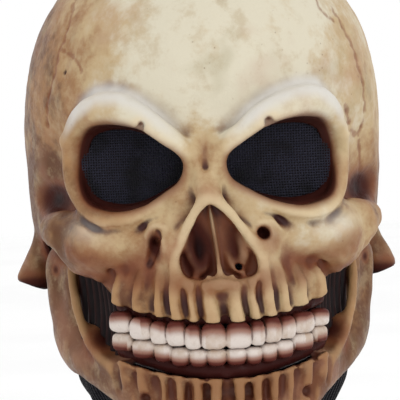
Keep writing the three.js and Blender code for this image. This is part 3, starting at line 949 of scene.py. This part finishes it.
def foam_paint():
    paint = Paint("open_cell_foam", 1.0)
    pores = paint.cells(620)
    paint.relief(pores, 0.0008, 0.9)
    colour = paint.mix(srgb(38, 38, 41), srgb(84, 84, 86), paint.rise(pores, 0.1, 0.6))
    return paint.finish(paint.mix(colour, srgb(60, 58, 56), paint.rise(paint.noise(45, 2), 0.4, 0.7)))


def steel_paint():
    paint = Paint("stud_steel", 0.35, 1.0)
    scratch = paint.noise(900, 4, 0.7)
    paint.relief(scratch, 0.0001, 0.4)
    colour = paint.mix(srgb(150, 148, 144), srgb(106, 103, 100), paint.rise(scratch, 0.4, 0.7))
    return paint.finish(colour, paint.rise(scratch, 0.3, 0.7, 0.26, 0.46))


def floor_paint():
    paint = Paint("pale_floor", 0.9)
    return paint.finish(
        paint.mix((0.99, 0.99, 0.99, 1), (0.97, 0.97, 0.97, 1), paint.rise(paint.noise(3, 2), 0.4, 0.6))
    )


# Near-black painted shade in hollows, holes and pits: its depth, centre and radii, and whether it is on
# both sides
JAW_SHADE_SPOTS = (
    (0.9, (66, -52, 112), (9, 16, 10)),
    (0.95, (86, -34, 173), (14, 22, 14)),
    (0.85, (46.5, -104, 85), (4, 9, 4)),
    (0.7, (90, -26, 154), (2.5, 9, 4)),
)
SKULL_SHADE_SPOTS = (
    (1.05, (90, -35, 195), (13, 26, 9.5)),
    (1.0, (102, 14, 140), (18, 16, 10)),
    (0.8, (90, 3, 165), (8, 9, 14)),
    (0.55, (64, -74, 152), (16, 14, 7)),
    (0.4, (47, -100, 154), (9, 14, 12)),
    # holes under the sockets
    (0.85, (-34, -104, 169), (4, 12, 8.5), False),
    (0.3, (-35, -104, 167), (9, 12, 12), False),
    (0.85, (27.5, -104, 174), (4.6, 12, 4.6), False),
    (0.35, (29, -104, 171), (9, 12, 9), False),
    # inside the nose
    (1.0, (-11, -105, 166), (11, 7, 20), False),
    (0.62, (12, -105, 166), (11, 7, 20), False),
    (1.0, (11, -104, 156.5), (5, 5, 5.5), False),
    (0.34, (0, -113, 168), (2.2, 8, 20)),
    # bridge, and notch in the brow
    (0.22, (0.5, -117, 221), (3, 6, 11)),
    (0.5, (35.5, -114, 237.5), (2, 6, 2.2)),
)


def place_tone_shade_and_highlights(piece, solid_at, points, jaw):
    """Where the paint is browner or painted with shade, where painted shade goes near black, where
    highlights are painted pale and where the inside is painted dark as shade, from a vertex's place on
    the skull.
    """
    x, y, z = points.T
    far = np.abs(x)
    right = smooth(10, -60, x)
    # browner towards the sides, with painted shade darkening the mask's right, the lower face and the
    # back
    tone_and_shade = 0.06 + 0.36 * smooth(48, 98, far)
    tone_and_shade += right * (0.28 * smooth(16, 58, far) + 0.1 * smooth(45, 90, far))
    tone_and_shade += 0.40 * smooth(232, 200, z) + (0.16 + 0.12 * right) * smooth(178, 140, z)
    tone_and_shade += 0.1 * smooth(-60, 60, y)
    painted_shade = np.zeros(len(points))

    def patch(amount, centre, radii, both=True):
        places = (far if both else x, y, z)
        return amount * np.exp(-sum(((p - c) / r) ** 2 for p, c, r in zip(places, centre, radii)))

    if jaw:
        # jaw: browner and darker lower down and on its front, partly painted shade; browner on the
        # mask's left and lighter on the outer ramus
        front = smooth(-70, -92, y)
        tone_and_shade += 0.1 * smooth(100, 70, z) - 0.2 * smooth(66, 84, far) + 0.2 * front
        tone_and_shade += 0.16 * smooth(30, 70, x) + 0.2 * smooth(-30, -50, y) * smooth(116, 100, z)
        painted_shade += 0.2 * front
        shade_spots = JAW_SHADE_SPOTS
    else:
        # brown painted shade between the brow ends, and the cheekbone's prominence painted lighter as a
        # painted highlight
        tone_and_shade += 0.42 * np.exp(-(((x - 1) / 14) ** 2) - ((z - 226) / 18) ** 2) * smooth(-80, -100, y)
        tone_and_shade -= 0.4 * np.exp(-(((far - 72) / 20) ** 2) - ((z - 172) / 14) ** 2) * smooth(-35, -60, y)
        # a darker band high over the upper root ridges
        painted_shade += 0.27 * np.exp(-(((z - 147 - SMILE * x * x) / 9) ** 2)) * smooth(-70, -84, y)
        shade_spots = SKULL_SHADE_SPOTS
        # the cracks darkened along their length, as shade painted into them
        for form in CRACKS:
            close = np.all((points > form.low - 3) & (points < form.high + 3), axis=1)
            found = 0.25 * smooth(1.5, 0.2, form.distance(*points[close].T))
            painted_shade[close] = np.maximum(painted_shade[close], found)
        # painted shade on the socket walls, near black in their deep wells
        c, s = math.cos(EYE_TILT), math.sin(EYE_TILT)
        depth = -s * (far - EYE_CENTRE) + c * (y - EYE_PLANE)
        across = c * (far - EYE_CENTRE) + s * (y - EYE_PLANE) + EYE_CENTRE
        edge = outline_distance(EYE_OUTLINE, across, z) + 20 * smooth(-54, -40, y)
        well = smooth(6.0, 0.6, edge) * smooth(-24, -13, depth)
        rim = smooth(9.0, 1.0, edge) * smooth(-46, -20, depth)
        painted_shade[:] = np.maximum(painted_shade, np.maximum(0.8 * well, 0.36 * rim))
    # near-black painted shade in the hollows, holes and pits listed above
    for shade_spot in shade_spots:
        np.maximum(painted_shade, patch(*shade_spot), out=painted_shade)
    # painted highlights: near-white on the brow crests, at the temple and on the cheekbone
    painted_highlight = np.zeros(len(points))
    if not jaw:
        brow = np.interp(far, [4, 14, 24, 36, 50, 62, 72, 80], [223, 229, 237, 246, 252, 252, 244, 232])
        crest = smooth(9.5, 1.5, np.abs(z - brow - 2.5)) * smooth(-72, -88, y)
        painted_highlight = patch(0.7, (91, -44, 189.5), (5, 12, 2.6)) + patch(0.4, (70, -84, 178), (9, 16, 6))
        painted_highlight = painted_highlight + crest * smooth(84, 72, far) * smooth(10, 27, far) * 0.9
    give(piece, "tone_and_shade", tone_and_shade)
    give(piece, "painted_shade", painted_shade)
    give(piece, "painted_highlight", painted_highlight)
    give(piece, "inner", smooth(-LATEX * 0.45, -LATEX * 0.8, solid_at))


# ------------------------------------------------------------------ castings
def lean(points):
    """The hand-made lopsidedness: the upper face sits a little to the mask's right."""
    x, y, z = points.T
    shift = -6.2 * smooth(146, 216, z) * (1 - 0.45 * smooth(22, 62, np.abs(x)))
    shift = shift * smooth(-45, -80, y) * smooth(285, 245, z)
    shift = shift + 1.6 * smooth(140, 125, z) * smooth(-60, -90, y)
    return points + np.stack([shift, 0 * x, 0 * x], 1)


def casting(name, clay, solid, field, body, node, jaw=False):
    piece = cast_mesh(name, clay, field)
    points = vertices_mm(piece)
    read_hollows(piece, clay, solid, points)
    place_tone_shade_and_highlights(piece, sampled(clay, solid, points), points, jaw)
    set_vertices_mm(piece, lean(points))
    dress(piece, BONE, "bone_latex", body, node)
    return piece


def dress(piece, material, slot, body, *nodes):
    piece.data.materials.append(material)
    if body is not None:
        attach(piece, body)
    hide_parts(*nodes)


def make_castings():
    """Both castings, and the foam pads between levels of their insides."""
    skull = skull_clay().both_sides()
    one_sided(skull)
    skull.field += 0.5 * lumps(skull, 14, 3) + 0.28 * lumps(skull, 6, 4)
    x, y, z = skull.grid_points()
    cheek = smooth(44, 62, np.abs(x)) * smooth(0, -25, y) * smooth(189, 179, z)
    skull.field += cheek * (0.9 * lumps(skull, 9, 7) + 0.5 * lumps(skull, 4.5, 8))
    solid = skull.true_distance(FOAM + LATEX + 4)
    wall = skull.like(np.maximum(np.maximum(solid, -(solid + LATEX)), -below_skull(skull)))
    for side in (1, -1):
        outline = EYE_OUTLINE * (side, 1)
        eye = (side * EYE_TILT, side * EYE_CENTRE, EYE_PLANE)
        wall.cut(drilled(outline, -8, 12, *eye, grow=-1.5), 0.8)
    wall.groove(1.2, (11, -108, 156, 1.9), (11, -96, 156, 2.2))
    casting("skull_casting", skull, solid, wall.field, "skull", "skull_shell")
    pad("crown_pad", skull, solid, blob((0, 15, 330), (42, 50, 42), power=2.6), "skull")
    pad("forehead_pad", skull, solid, blob((0, -93, 268), (48, 44, 15), power=2.8), "skull")
    pad("nape_pad", skull, solid, blob((0, 105, 200), (42, 44, 26), power=2.6), "skull")
    for side, name in SIDES:
        temple = blob((side * 90, 12, 245), (44, 36, 22), power=2.6)
        pad(f"temple_pad_{name}", skull, solid, temple, "skull")

    jaw = jaw_clay().both_sides()
    jaw.field += 0.45 * lumps(jaw, 13, 5) + 0.25 * lumps(jaw, 6, 6)
    jaw_solid = jaw.true_distance(FOAM + LATEX + 4)
    wall = open_jaw(jaw, np.maximum(jaw_solid, -(jaw_solid + LATEX)))
    casting("jaw_casting", jaw, jaw_solid, wall, "jaw", "jaw_shell", jaw=True)
    pad("chin_cup", jaw, jaw_solid, blob((0, -95, 75), (28, 40, 8), power=2.8), "jaw")
    return skull, solid


def pad(name, clay, solid, outline, body):
    """Foam glued inside a casting: crowned, with rounded edges."""
    part, where = clay.window(outline, 6)
    reach = solid[part]
    slab = np.maximum(reach + LATEX + 0.5, -(reach + LATEX + FOAM))
    rounded = outline.distance(*where)
    field = np.maximum(slab, rounded) + fillet(slab, rounded, 7)
    small = clay.like(field.astype(np.float32), part)
    piece = cast_mesh(f"{name}_foam", small, small.field, PAD_FACES)
    dress(piece, FOAM_LOOK, "foam", body, name)


# ------------------------------------------------------------------ teeth
def crown(x, y, z, turn, half, up):
    """A tooth: rounded block, wide at the bite and narrow at the gum."""
    c, s = math.cos(turn), math.sin(turn)
    wide, deep, tall = half

    def distance(px, py, pz):
        u = c * (px - x) + s * (py - y)
        d = -s * (px - x) + c * (py - y)
        t = np.clip(up * (pz - z) / tall, -1.2, 1.2)
        girth = wide * (1.0 - 0.14 * np.maximum(t, 0) - 0.1 * np.maximum(t, 0) ** 2)
        q = np.abs(u / girth) ** 3.6 + np.abs((d + 0.5 * t) / deep) ** 2.8 + np.abs((pz - z) / tall) ** 4
        return (q ** 0.28 - 1) * min(wide, deep, tall) * 0.8

    reach = wide + deep
    return Form((x - reach, y - reach, z - tall - 1), (x + reach, y + reach, z + tall + 1), distance)


def tooth_strip(name, node, widths, front, bite, talls, up, body, seed):
    """Twelve crowns on a gum along the arch. widths and talls run from the middle out, by side."""
    r = np.random.default_rng(seed)
    low = (-70, front - 3, bite - 26 if up < 0 else bite - 3)
    high = (70, front + 56, bite + 17 if up < 0 else bite + 38)
    clay = Clay(low, high, TOOTH_STEP)
    crowns = []
    for side in (1, -1):
        edge = 0.0
        for wide, tall in zip(widths[side], talls[side]):
            mid = edge + wide / 2
            edge += wide
            x = side * mid + MIDLINE
            # the strip is measured along x, so a crown on the side of the arch is wider than that
            slope = math.atan(2 * ARCH * side * mid)
            half = (wide / 2 / math.cos(slope) + 0.4, 4.4, tall / 2 + 0.3)
            y = front + ARCH * mid * mid + 4.0 + r.uniform(-0.4, 0.4)
            z = bite + SMILE * mid * mid + up * (tall / 2 + 0.15) + r.uniform(-0.3, 0.3)
            turn = slope + r.uniform(-0.06, 0.06)
            clay.add(crown(x, y, z, turn, half, up), 0.5)
            crowns.append((x, half[0], z, tall, r.uniform(-0.25, 0.25)))
    gum_line = []
    for x in np.linspace(-60, 60, 17):
        neck = bite + SMILE * x * x + up * (
            np.interp(abs(x), [0, 60], [talls[1][0], talls[1][-1]]) + 3.5
        )
        gum_line.append((x * 0.9 + MIDLINE, front + ARCH * x * x + 10.6, neck, 4.8))
    clay.bead(2.2, *gum_line, per_span=2)
    clay.field += 0.12 * lumps(clay, 3.2, seed + 1)
    solid = clay.true_distance(4)
    piece = cast_mesh(name, clay, clay.field, TOOTH_FACES)
    points = vertices_mm(piece)
    filled = np.clip(0.5 - solid / clay.step, 0, 1)
    give(piece, "fine", sampled(clay, blurred(filled, 1.6 / clay.step), points + normals(piece) * 0.4))
    x, y, z = points.T
    gum = np.ones(len(points))
    tint = np.zeros(len(points))
    for cx, wide, cz, tall, shade in crowns:
        along = up * (z - cz) / tall + 0.5
        across = np.abs(x - cx) / (wide * 1.25)
        mine = across < 1
        gum[mine] = np.minimum(gum[mine], smooth(0.25, 1.12, along[mine] + 0.16 * across[mine] ** 2))
        tint[mine] = shade
    # the crowns' backs take the gum's near-black too, as painted shade behind the front of the arch
    behind = smooth(2.5, 6.5, y - (front + ARCH * (x - MIDLINE) ** 2))
    give(piece, "gum", np.maximum(gum, behind))
    give(piece, "tint", tint)
    dress(piece, TOOTH_LOOK, "tooth_latex", body, node)


# ------------------------------------------------------------------ cloth
def sheet_mesh(name, rows, thick, across=None, along=None, closed=False):
    """A sheet through rows of points (mm), given its thickness on both sides of them."""
    rows = np.array(rows, float)
    count, wide = rows.shape[:2]
    faces = []
    for i in range(count - 1):
        for j in range(wide if closed else wide - 1):
            k = (j + 1) % wide
            faces.append((i * wide + j, i * wide + k, (i + 1) * wide + k, (i + 1) * wide + j))
    piece = mesh_object(name, rows.reshape(-1, 3), np.array(faces))
    if across is not None:
        give(piece, "across", np.asarray(across, float).ravel())
        give(piece, "along", np.asarray(along, float).ravel())
    wall = piece.modifiers.new("wall", "SOLIDIFY")
    wall.thickness = thick * MM
    wall.offset = 0
    wall.use_even_offset = False
    apply_modifiers(piece)
    piece.data.shade_smooth()
    return piece


def woven_panel(name, outline, grow, place):
    """Threads woven over and under each other inside an outline. place maps (u, v, lift) to mm."""
    pitch, thread = MESH_PITCH, MESH_THREAD
    low, high = outline.min(0) - grow, outline.max(0) + grow
    points, faces = [], []
    for run in (0, 1):
        cross = 1 - run
        for n, at in enumerate(np.arange(low[cross] + pitch / 2, high[cross], pitch)):
            steps = np.arange(low[run] + pitch / 4, high[run], pitch / 2)
            uv = np.zeros((len(steps), 2))
            uv[:, run] = steps
            uv[:, cross] = at
            inside = outline_distance(outline, uv[:, 0], uv[:, 1]) < grow
            if inside.sum() < 3:
                continue
            kept = np.flatnonzero(inside)
            first = len(points)
            for m, i in enumerate(range(kept[0], kept[-1] + 1)):
                lift = MESH_LIFT * math.cos(math.pi * (i / 2 + n + run))
                for side, rise in ((-1, 0), (0, 1), (1, 0), (0, -1)):
                    spot = uv[i].copy()
                    spot[cross] += side * thread / 2
                    points.append(place(spot[0], spot[1], lift + rise * thread / 2))
                if m:
                    a, b = first + (m - 1) * 4, first + m * 4
                    faces += [(a + k, a + (k + 1) % 4, b + (k + 1) % 4, b + k) for k in range(4)]
            last = len(points) - 4
            faces += [(first + 3, first + 2, first + 1, first), (last, last + 1, last + 2, last + 3)]
    return mesh_object(name, np.array(points), np.array(faces))


def mesh_panels():
    c, s = math.cos(EYE_TILT), math.sin(EYE_TILT)
    for side, name in SIDES:
        # the cloth bellies a little into the mask
        def on_eye(u, v, lift, side=side):
            belly = 1.6 * math.cos((u - EYE_CENTRE) / 42) * math.cos((v - 212) / 32)
            across, depth = u - EYE_CENTRE, -0.8 + belly - lift
            return (side * (EYE_CENTRE + c * across - s * depth), EYE_PLANE + s * across + c * depth, v)

        piece = woven_panel(f"eye_mesh_{name}_weave", EYE_OUTLINE, EYE_MARGIN, on_eye)
        set_vertices_mm(piece, lean(vertices_mm(piece)))
        dress(piece, THREAD, "eye_mesh", "skull", f"eye_mesh_{name}")
        size = EYE_OUTLINE.max(0) - EYE_OUTLINE.min(0) + 2 * EYE_MARGIN
        size.prod() * 0.8 * MM * MM

    def in_nose(u, v, lift):
        return (u, NOSE_MESH - lift, v)

    piece = woven_panel("nose_mesh_weave", NOSE_OUTLINE, NOSE_MARGIN, in_nose)
    dress(piece, THREAD, "eye_mesh", "skull", "nose_mesh")
    size = NOSE_OUTLINE.max(0) - NOSE_OUTLINE.min(0) + 2 * NOSE_MARGIN
    size.prod() * 0.7 * MM * MM


def cheek_gussets():
    """Pleated stretch panels that close the cheeks between upper jaw, cheekbone and ramus."""
    front, rear = np.array([56.0, -74.0]), np.array([77.0, -38.0])
    out = np.array([rear[1] - front[1], front[0] - rear[0]]) / np.linalg.norm(rear - front)
    for side, name in SIDES:
        rows, folds = [], []
        for t in np.linspace(0, 1, 45):
            row, fold = [], []
            for s in np.linspace(0, 1, 85):
                plait = math.cos(2 * math.pi * (s * 7 + 0.12 * math.sin(5 * t)))
                depth = 1.0 * plait + 2.5 * math.sin(math.pi * s) * math.sin(math.pi * t)
                x, y = front + (rear - front) * s - out * depth
                low, high = 104 + 9 * s, np.interp(s, [0, 0.3, 0.5, 1], [140, 148, 160, 163])
                row.append((side * x, y, low + (high - low) * t))
                fold.append(0.5 - 0.5 * plait)
            rows.append(row)
            folds.append(fold)
        piece = sheet_mesh(f"cheek_gusset_{name}_pleats", rows, GUSSET_CLOTH)
        # which pleat a vertex is on, for the paint
        known = np.array(rows).reshape(-1, 3)
        give(piece, "fold", nearest_values(vertices_mm(piece), known, np.array(folds).ravel()))
        dress(piece, GUSSET, "cheek_stretch", None, f"cheek_gusset_{name}")
        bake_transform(piece)


def nearest_values(points, known, values):
    tree = KDTree(len(known))
    for i, p in enumerate(known):
        tree.insert(p, i)
    tree.balance()
    return np.array([values[tree.find(p)[1]] for p in points])


def ring_at(z):
    """Half width, half depth and middle of the neck sleeve at a height."""
    heights, *sizes = zip(*HOOD_RINGS)
    i = int(np.clip(np.searchsorted(heights, z), 1, len(heights) - 1))
    t = smooth(heights[i - 1], heights[i], z)
    return [s[i - 1] + (s[i] - s[i - 1]) * t for s in sizes]


def hood_point(angle, z, out=0.0):
    wide, deep, mid = ring_at(z)
    fold = 1.5 * math.sin(7 * angle + 0.05 * z) + 0.9 * math.sin(17 * angle - 0.09 * z + 1)
    fold *= smooth(12, 40, z) * smooth(150, 120, z) + 0.25
    # nothing pushes forward towards the jaw
    if math.sin(angle) < -0.5:
        fold = -abs(fold)
    aside = 2.5 * smooth(20, 60, z) * smooth(120, 95, z)
    return np.array(
        [(wide + fold + out) * math.cos(angle) + aside, (deep + fold + out) * math.sin(angle) + mid, z]
    )


def neck_hood(skull, solid):
    angles = np.linspace(0, 2 * math.pi, AROUND, endpoint=False)
    rows, across, along = [], [], []
    for t in np.linspace(0, 1, 64):
        row = []
        for angle in angles:
            y = hood_point(angle, 90)[1]
            top = np.interp(y, [-150, -20, 2, 14, 20], [66, 66, 86, 118, 150])
            row.append(hood_point(angle, HEM + (top - HEM) * t))
        rows.append(row)
        across.append([SLEEVE * a for a in angles])
        along.append([p[2] for p in row])
    rows = np.array(rows)
    # where the sleeve is glued inside the cranium it follows the casting's inner wall
    flat = rows.reshape(-1, 3)
    centre = np.array([0, 22, 0])
    for _ in range(12):
        near = sampled(skull, solid, flat)
        deep = (near > -(LATEX + 1.2)) & (flat[:, 2] > 124)
        pull = (flat - centre) * (0.985, 0.985, 1) + centre
        flat = np.where(deep[:, None], pull, flat)
    rows = flat.reshape(rows.shape)
    piece = sheet_mesh("neck_hood_knit", rows, HOOD_CLOTH, across, along, closed=True)
    dress(piece, KNIT, "hood_knit", "skull", "neck_hood")
    hem = hood_hem()


def hood_hem():
    """The hem: the cloth turned up twice and stitched."""
    angles = np.linspace(0, 2 * math.pi, AROUND, endpoint=False)
    section = [
        (1.2, 11.6), (1.5, 9), (1.5, 3.5), (1.1, 0.9), (0, 0.1), (-1.1, 0.9), (-1.5, 3.5), (-1.5, 9),
        (-1.2, 11.6),
    ]
    rows, across, along = [], [], []
    for n, (out, z) in enumerate(section):
        rows.append(
            [hood_point(a, z, out) + (0, 0, 0.35 * math.sin(40 * a) if z > 9 else 0) for a in angles]
        )
        across.append([SLEEVE * a for a in angles])
        along.append([n * 2.8 for _ in angles])
    piece = sheet_mesh("hood_hem_fold", rows, HEM_CLOTH, across, along, closed=True)
    low = vertices_mm(piece)
    low[:, 2] = np.maximum(low[:, 2], 0)
    set_vertices_mm(piece, low)
    dress(piece, KNIT, "hood_knit", "skull", "hood_hem")
    stitches(piece)
    return piece


def stitches(hem):
    points, faces = [], []
    count = 110
    for n in range(count):
        for row in (8.6, 3.2):
            start = 2 * math.pi * n / count
            end = start + 2 * math.pi / count * 0.62
            ends = [hood_point(v, row, 2.0) for v in (start, (start + end) / 2, end)]
            first = len(points)
            for size, p in zip((0.15, 0.34, 0.15), ends):
                radial = np.array([math.cos(start), math.sin(start), 0])
                points += [p + radial * size, p + (0, 0, size), p - radial * size, p - (0, 0, size)]
            for m in (0, 4):
                a, b = first + m, first + m + 4
                faces += [(a + k, a + (k + 1) % 4, b + (k + 1) % 4, b + k) for k in range(4)]
            faces += [(first + 3, first + 2, first + 1, first), (b, b + 1, b + 2, b + 3)]
    piece = mesh_object("hem_stitches", np.array(points), np.array(faces))
    piece.data.materials.append(SEWING)
    piece.parent = hem


def throat_gusset():
    """Sling of hood cloth from under the chin back to the neck sleeve."""
    rows, across, along = [], [], []
    for t in np.linspace(0, 1, 22):
        row, wides, longs = [], [], []
        for u in np.linspace(-1, 1, 70):
            x = 43 * u
            front, back = -73.0, 18.5 - 57 * math.sqrt(1 - (x / 66) ** 2)
            y = front + (back - front) * t
            sag = 1.6 * math.sin(math.pi * t) - 0.7 * math.sin(9 * u + 2 * t)
            row.append((x, y, 62.4 - 1.8 * t - sag + 2.5 * u * u * (1 - t)))
            wides.append(x)
            longs.append(34 * t)
        rows.append(row)
        across.append(wides)
        along.append(longs)
    piece = sheet_mesh("throat_gusset_knit", rows, GUSSET_CLOTH, across, along)
    dress(piece, KNIT, "hood_knit", None, "throat_gusset")
    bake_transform(piece)


def hinge_tabs():
    """Webbing that hangs from inside the cranium casting and carries the studs."""
    line = eased([(73.8, 169.5), (73.8, 181), (74.2, 192), (81, 200), (88.5, 206.5), (91, 218.5)], 6)
    step = np.linalg.norm(np.diff(line, axis=0), axis=1)
    run = np.concatenate([[0], np.cumsum(step)])
    for side, name in SIDES:
        rows, across, along = [], [], []
        for (x, z), length in zip(line, run):
            wides = np.linspace(-11, 11, 24)
            rows.append([(side * x, -12 + w, z) for w in wides])
            across.append(wides)
            along.append([length] * 24)
        piece = sheet_mesh(f"hinge_tab_{name}_webbing", rows, HOOD_CLOTH, across, along)
        dress(piece, KNIT, "hood_knit", "skull", f"hinge_tab_{name}")


# ------------------------------------------------------------------ stage, light and camera
def area_light(name, place, aim, size, power):
    data = bpy.data.lights.new(name, "AREA")
    data.shape = "SQUARE"
    data.size = size
    data.energy = power
    lamp = linked(name, data)
    lamp.location = place
    lamp.rotation_euler = (Vector(aim) - Vector(place)).to_track_quat("-Z", "Y").to_euler()


def studio():
    reach = 4000
    corners = reach * np.array([(-1, -1, 0), (1, -1, 0), (1, 1, 0), (-1, 1, 0)], float)
    floor = mesh_object("floor", corners, np.array([[0, 1, 2, 3]]))
    floor.data.materials.append(floor_paint())
    floor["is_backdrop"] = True
    world = bpy.data.worlds.new("studio")
    world.use_nodes = True
    world.node_tree.nodes["Background"].inputs[0].default_value = (1, 1, 1, 1)
    world.node_tree.nodes["Background"].inputs[1].default_value = 1.0
    bpy.context.scene.world = world
    bpy.context.scene.view_settings.view_transform = "Standard"
    area_light("key", (0.9, -1.9, 0.9), (0, 0, 0.22), 0.7, 6)


def place_camera():
    """At 2 m in front, a little to the mask's right and above, and tipped anticlockwise."""
    azimuth, elevation, roll = math.radians(-3.2), math.radians(2.0), math.radians(2.3)
    distance, aim = 2.0, Vector((0, 0, 0.190))
    seen = 0.234  # metres across the frame at the aim
    lens = bpy.data.cameras.new("camera")
    lens.sensor_width = 36
    lens.lens = lens.sensor_width * distance / seen
    lens.shift_x = -0.015
    side = math.sin(azimuth) * math.cos(elevation), -math.cos(azimuth) * math.cos(elevation)
    back = Vector((*side, math.sin(elevation)))
    right = Vector((math.cos(azimuth), math.sin(azimuth), 0))
    axes = Matrix((right, back.cross(right), back)).transposed() @ Matrix.Rotation(-roll, 3, "Z")
    camera = linked("camera", lens)
    camera.matrix_world = Matrix.Translation(aim + back * distance) @ axes.to_4x4()
    bpy.context.scene.camera = camera


# ------------------------------------------------------------------ the mask
BONE = bone_paint()
TOOTH_LOOK = tooth_paint()
KNIT = knit_paint("black_jersey", srgb(12, 11, 15), srgb(34, 33, 40), 2.2)
SEWING = knit_paint("sewing_thread", srgb(20, 20, 24), srgb(52, 52, 58), 0.8)
THREAD = thread_paint()
GUSSET = gusset_paint()
FOAM_LOOK = foam_paint()
STEEL = steel_paint()

skull_form, skull_depth = make_castings()
tooth_strip(
    "upper_teeth_crowns", "upper_teeth",
    {1: (14.0, 7.2, 9.2, 8.0, 11.4, 8.6), -1: (13.4, 8.5, 9.6, 8.4, 11.0, 10.6)}, -120.5, BITE,
    {1: (14.6, 13.6, 14.2, 12.6, 11.6, 9.6), -1: (14.6, 13.2, 14.0, 12.4, 12.2, 11.6)}, 1, "skull", 11,
)
tooth_strip(
    "lower_teeth_crowns", "lower_teeth",
    {1: (10.8, 8.6, 8.4, 9.2, 12.0, 8.4), -1: (10.4, 9.2, 9.6, 8.8, 11.8, 10.4)}, -116.5, BITE,
    {1: (9.4, 9.6, 10.4, 10.0, 9.8, 9.2), -1: (9.4, 9.8, 10.4, 10.0, 10.2, 10.0)}, -1, "jaw", 12,
)
mesh_panels()
cheek_gussets()
neck_hood(skull_form, skull_depth)
throat_gusset()
hinge_tabs()
for _, name in SIDES:
    for node in (f"hinge_stud_{name}", f"stud_socket_{name}"):
        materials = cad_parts[node].data.materials
        materials.clear()
        materials.append(STEEL)

studio()
place_camera()
boxes = {"cad": cad_box, "visual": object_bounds()}
{name: [list(map(float, corner)) for corner in box] for name, box in boxes.items()}
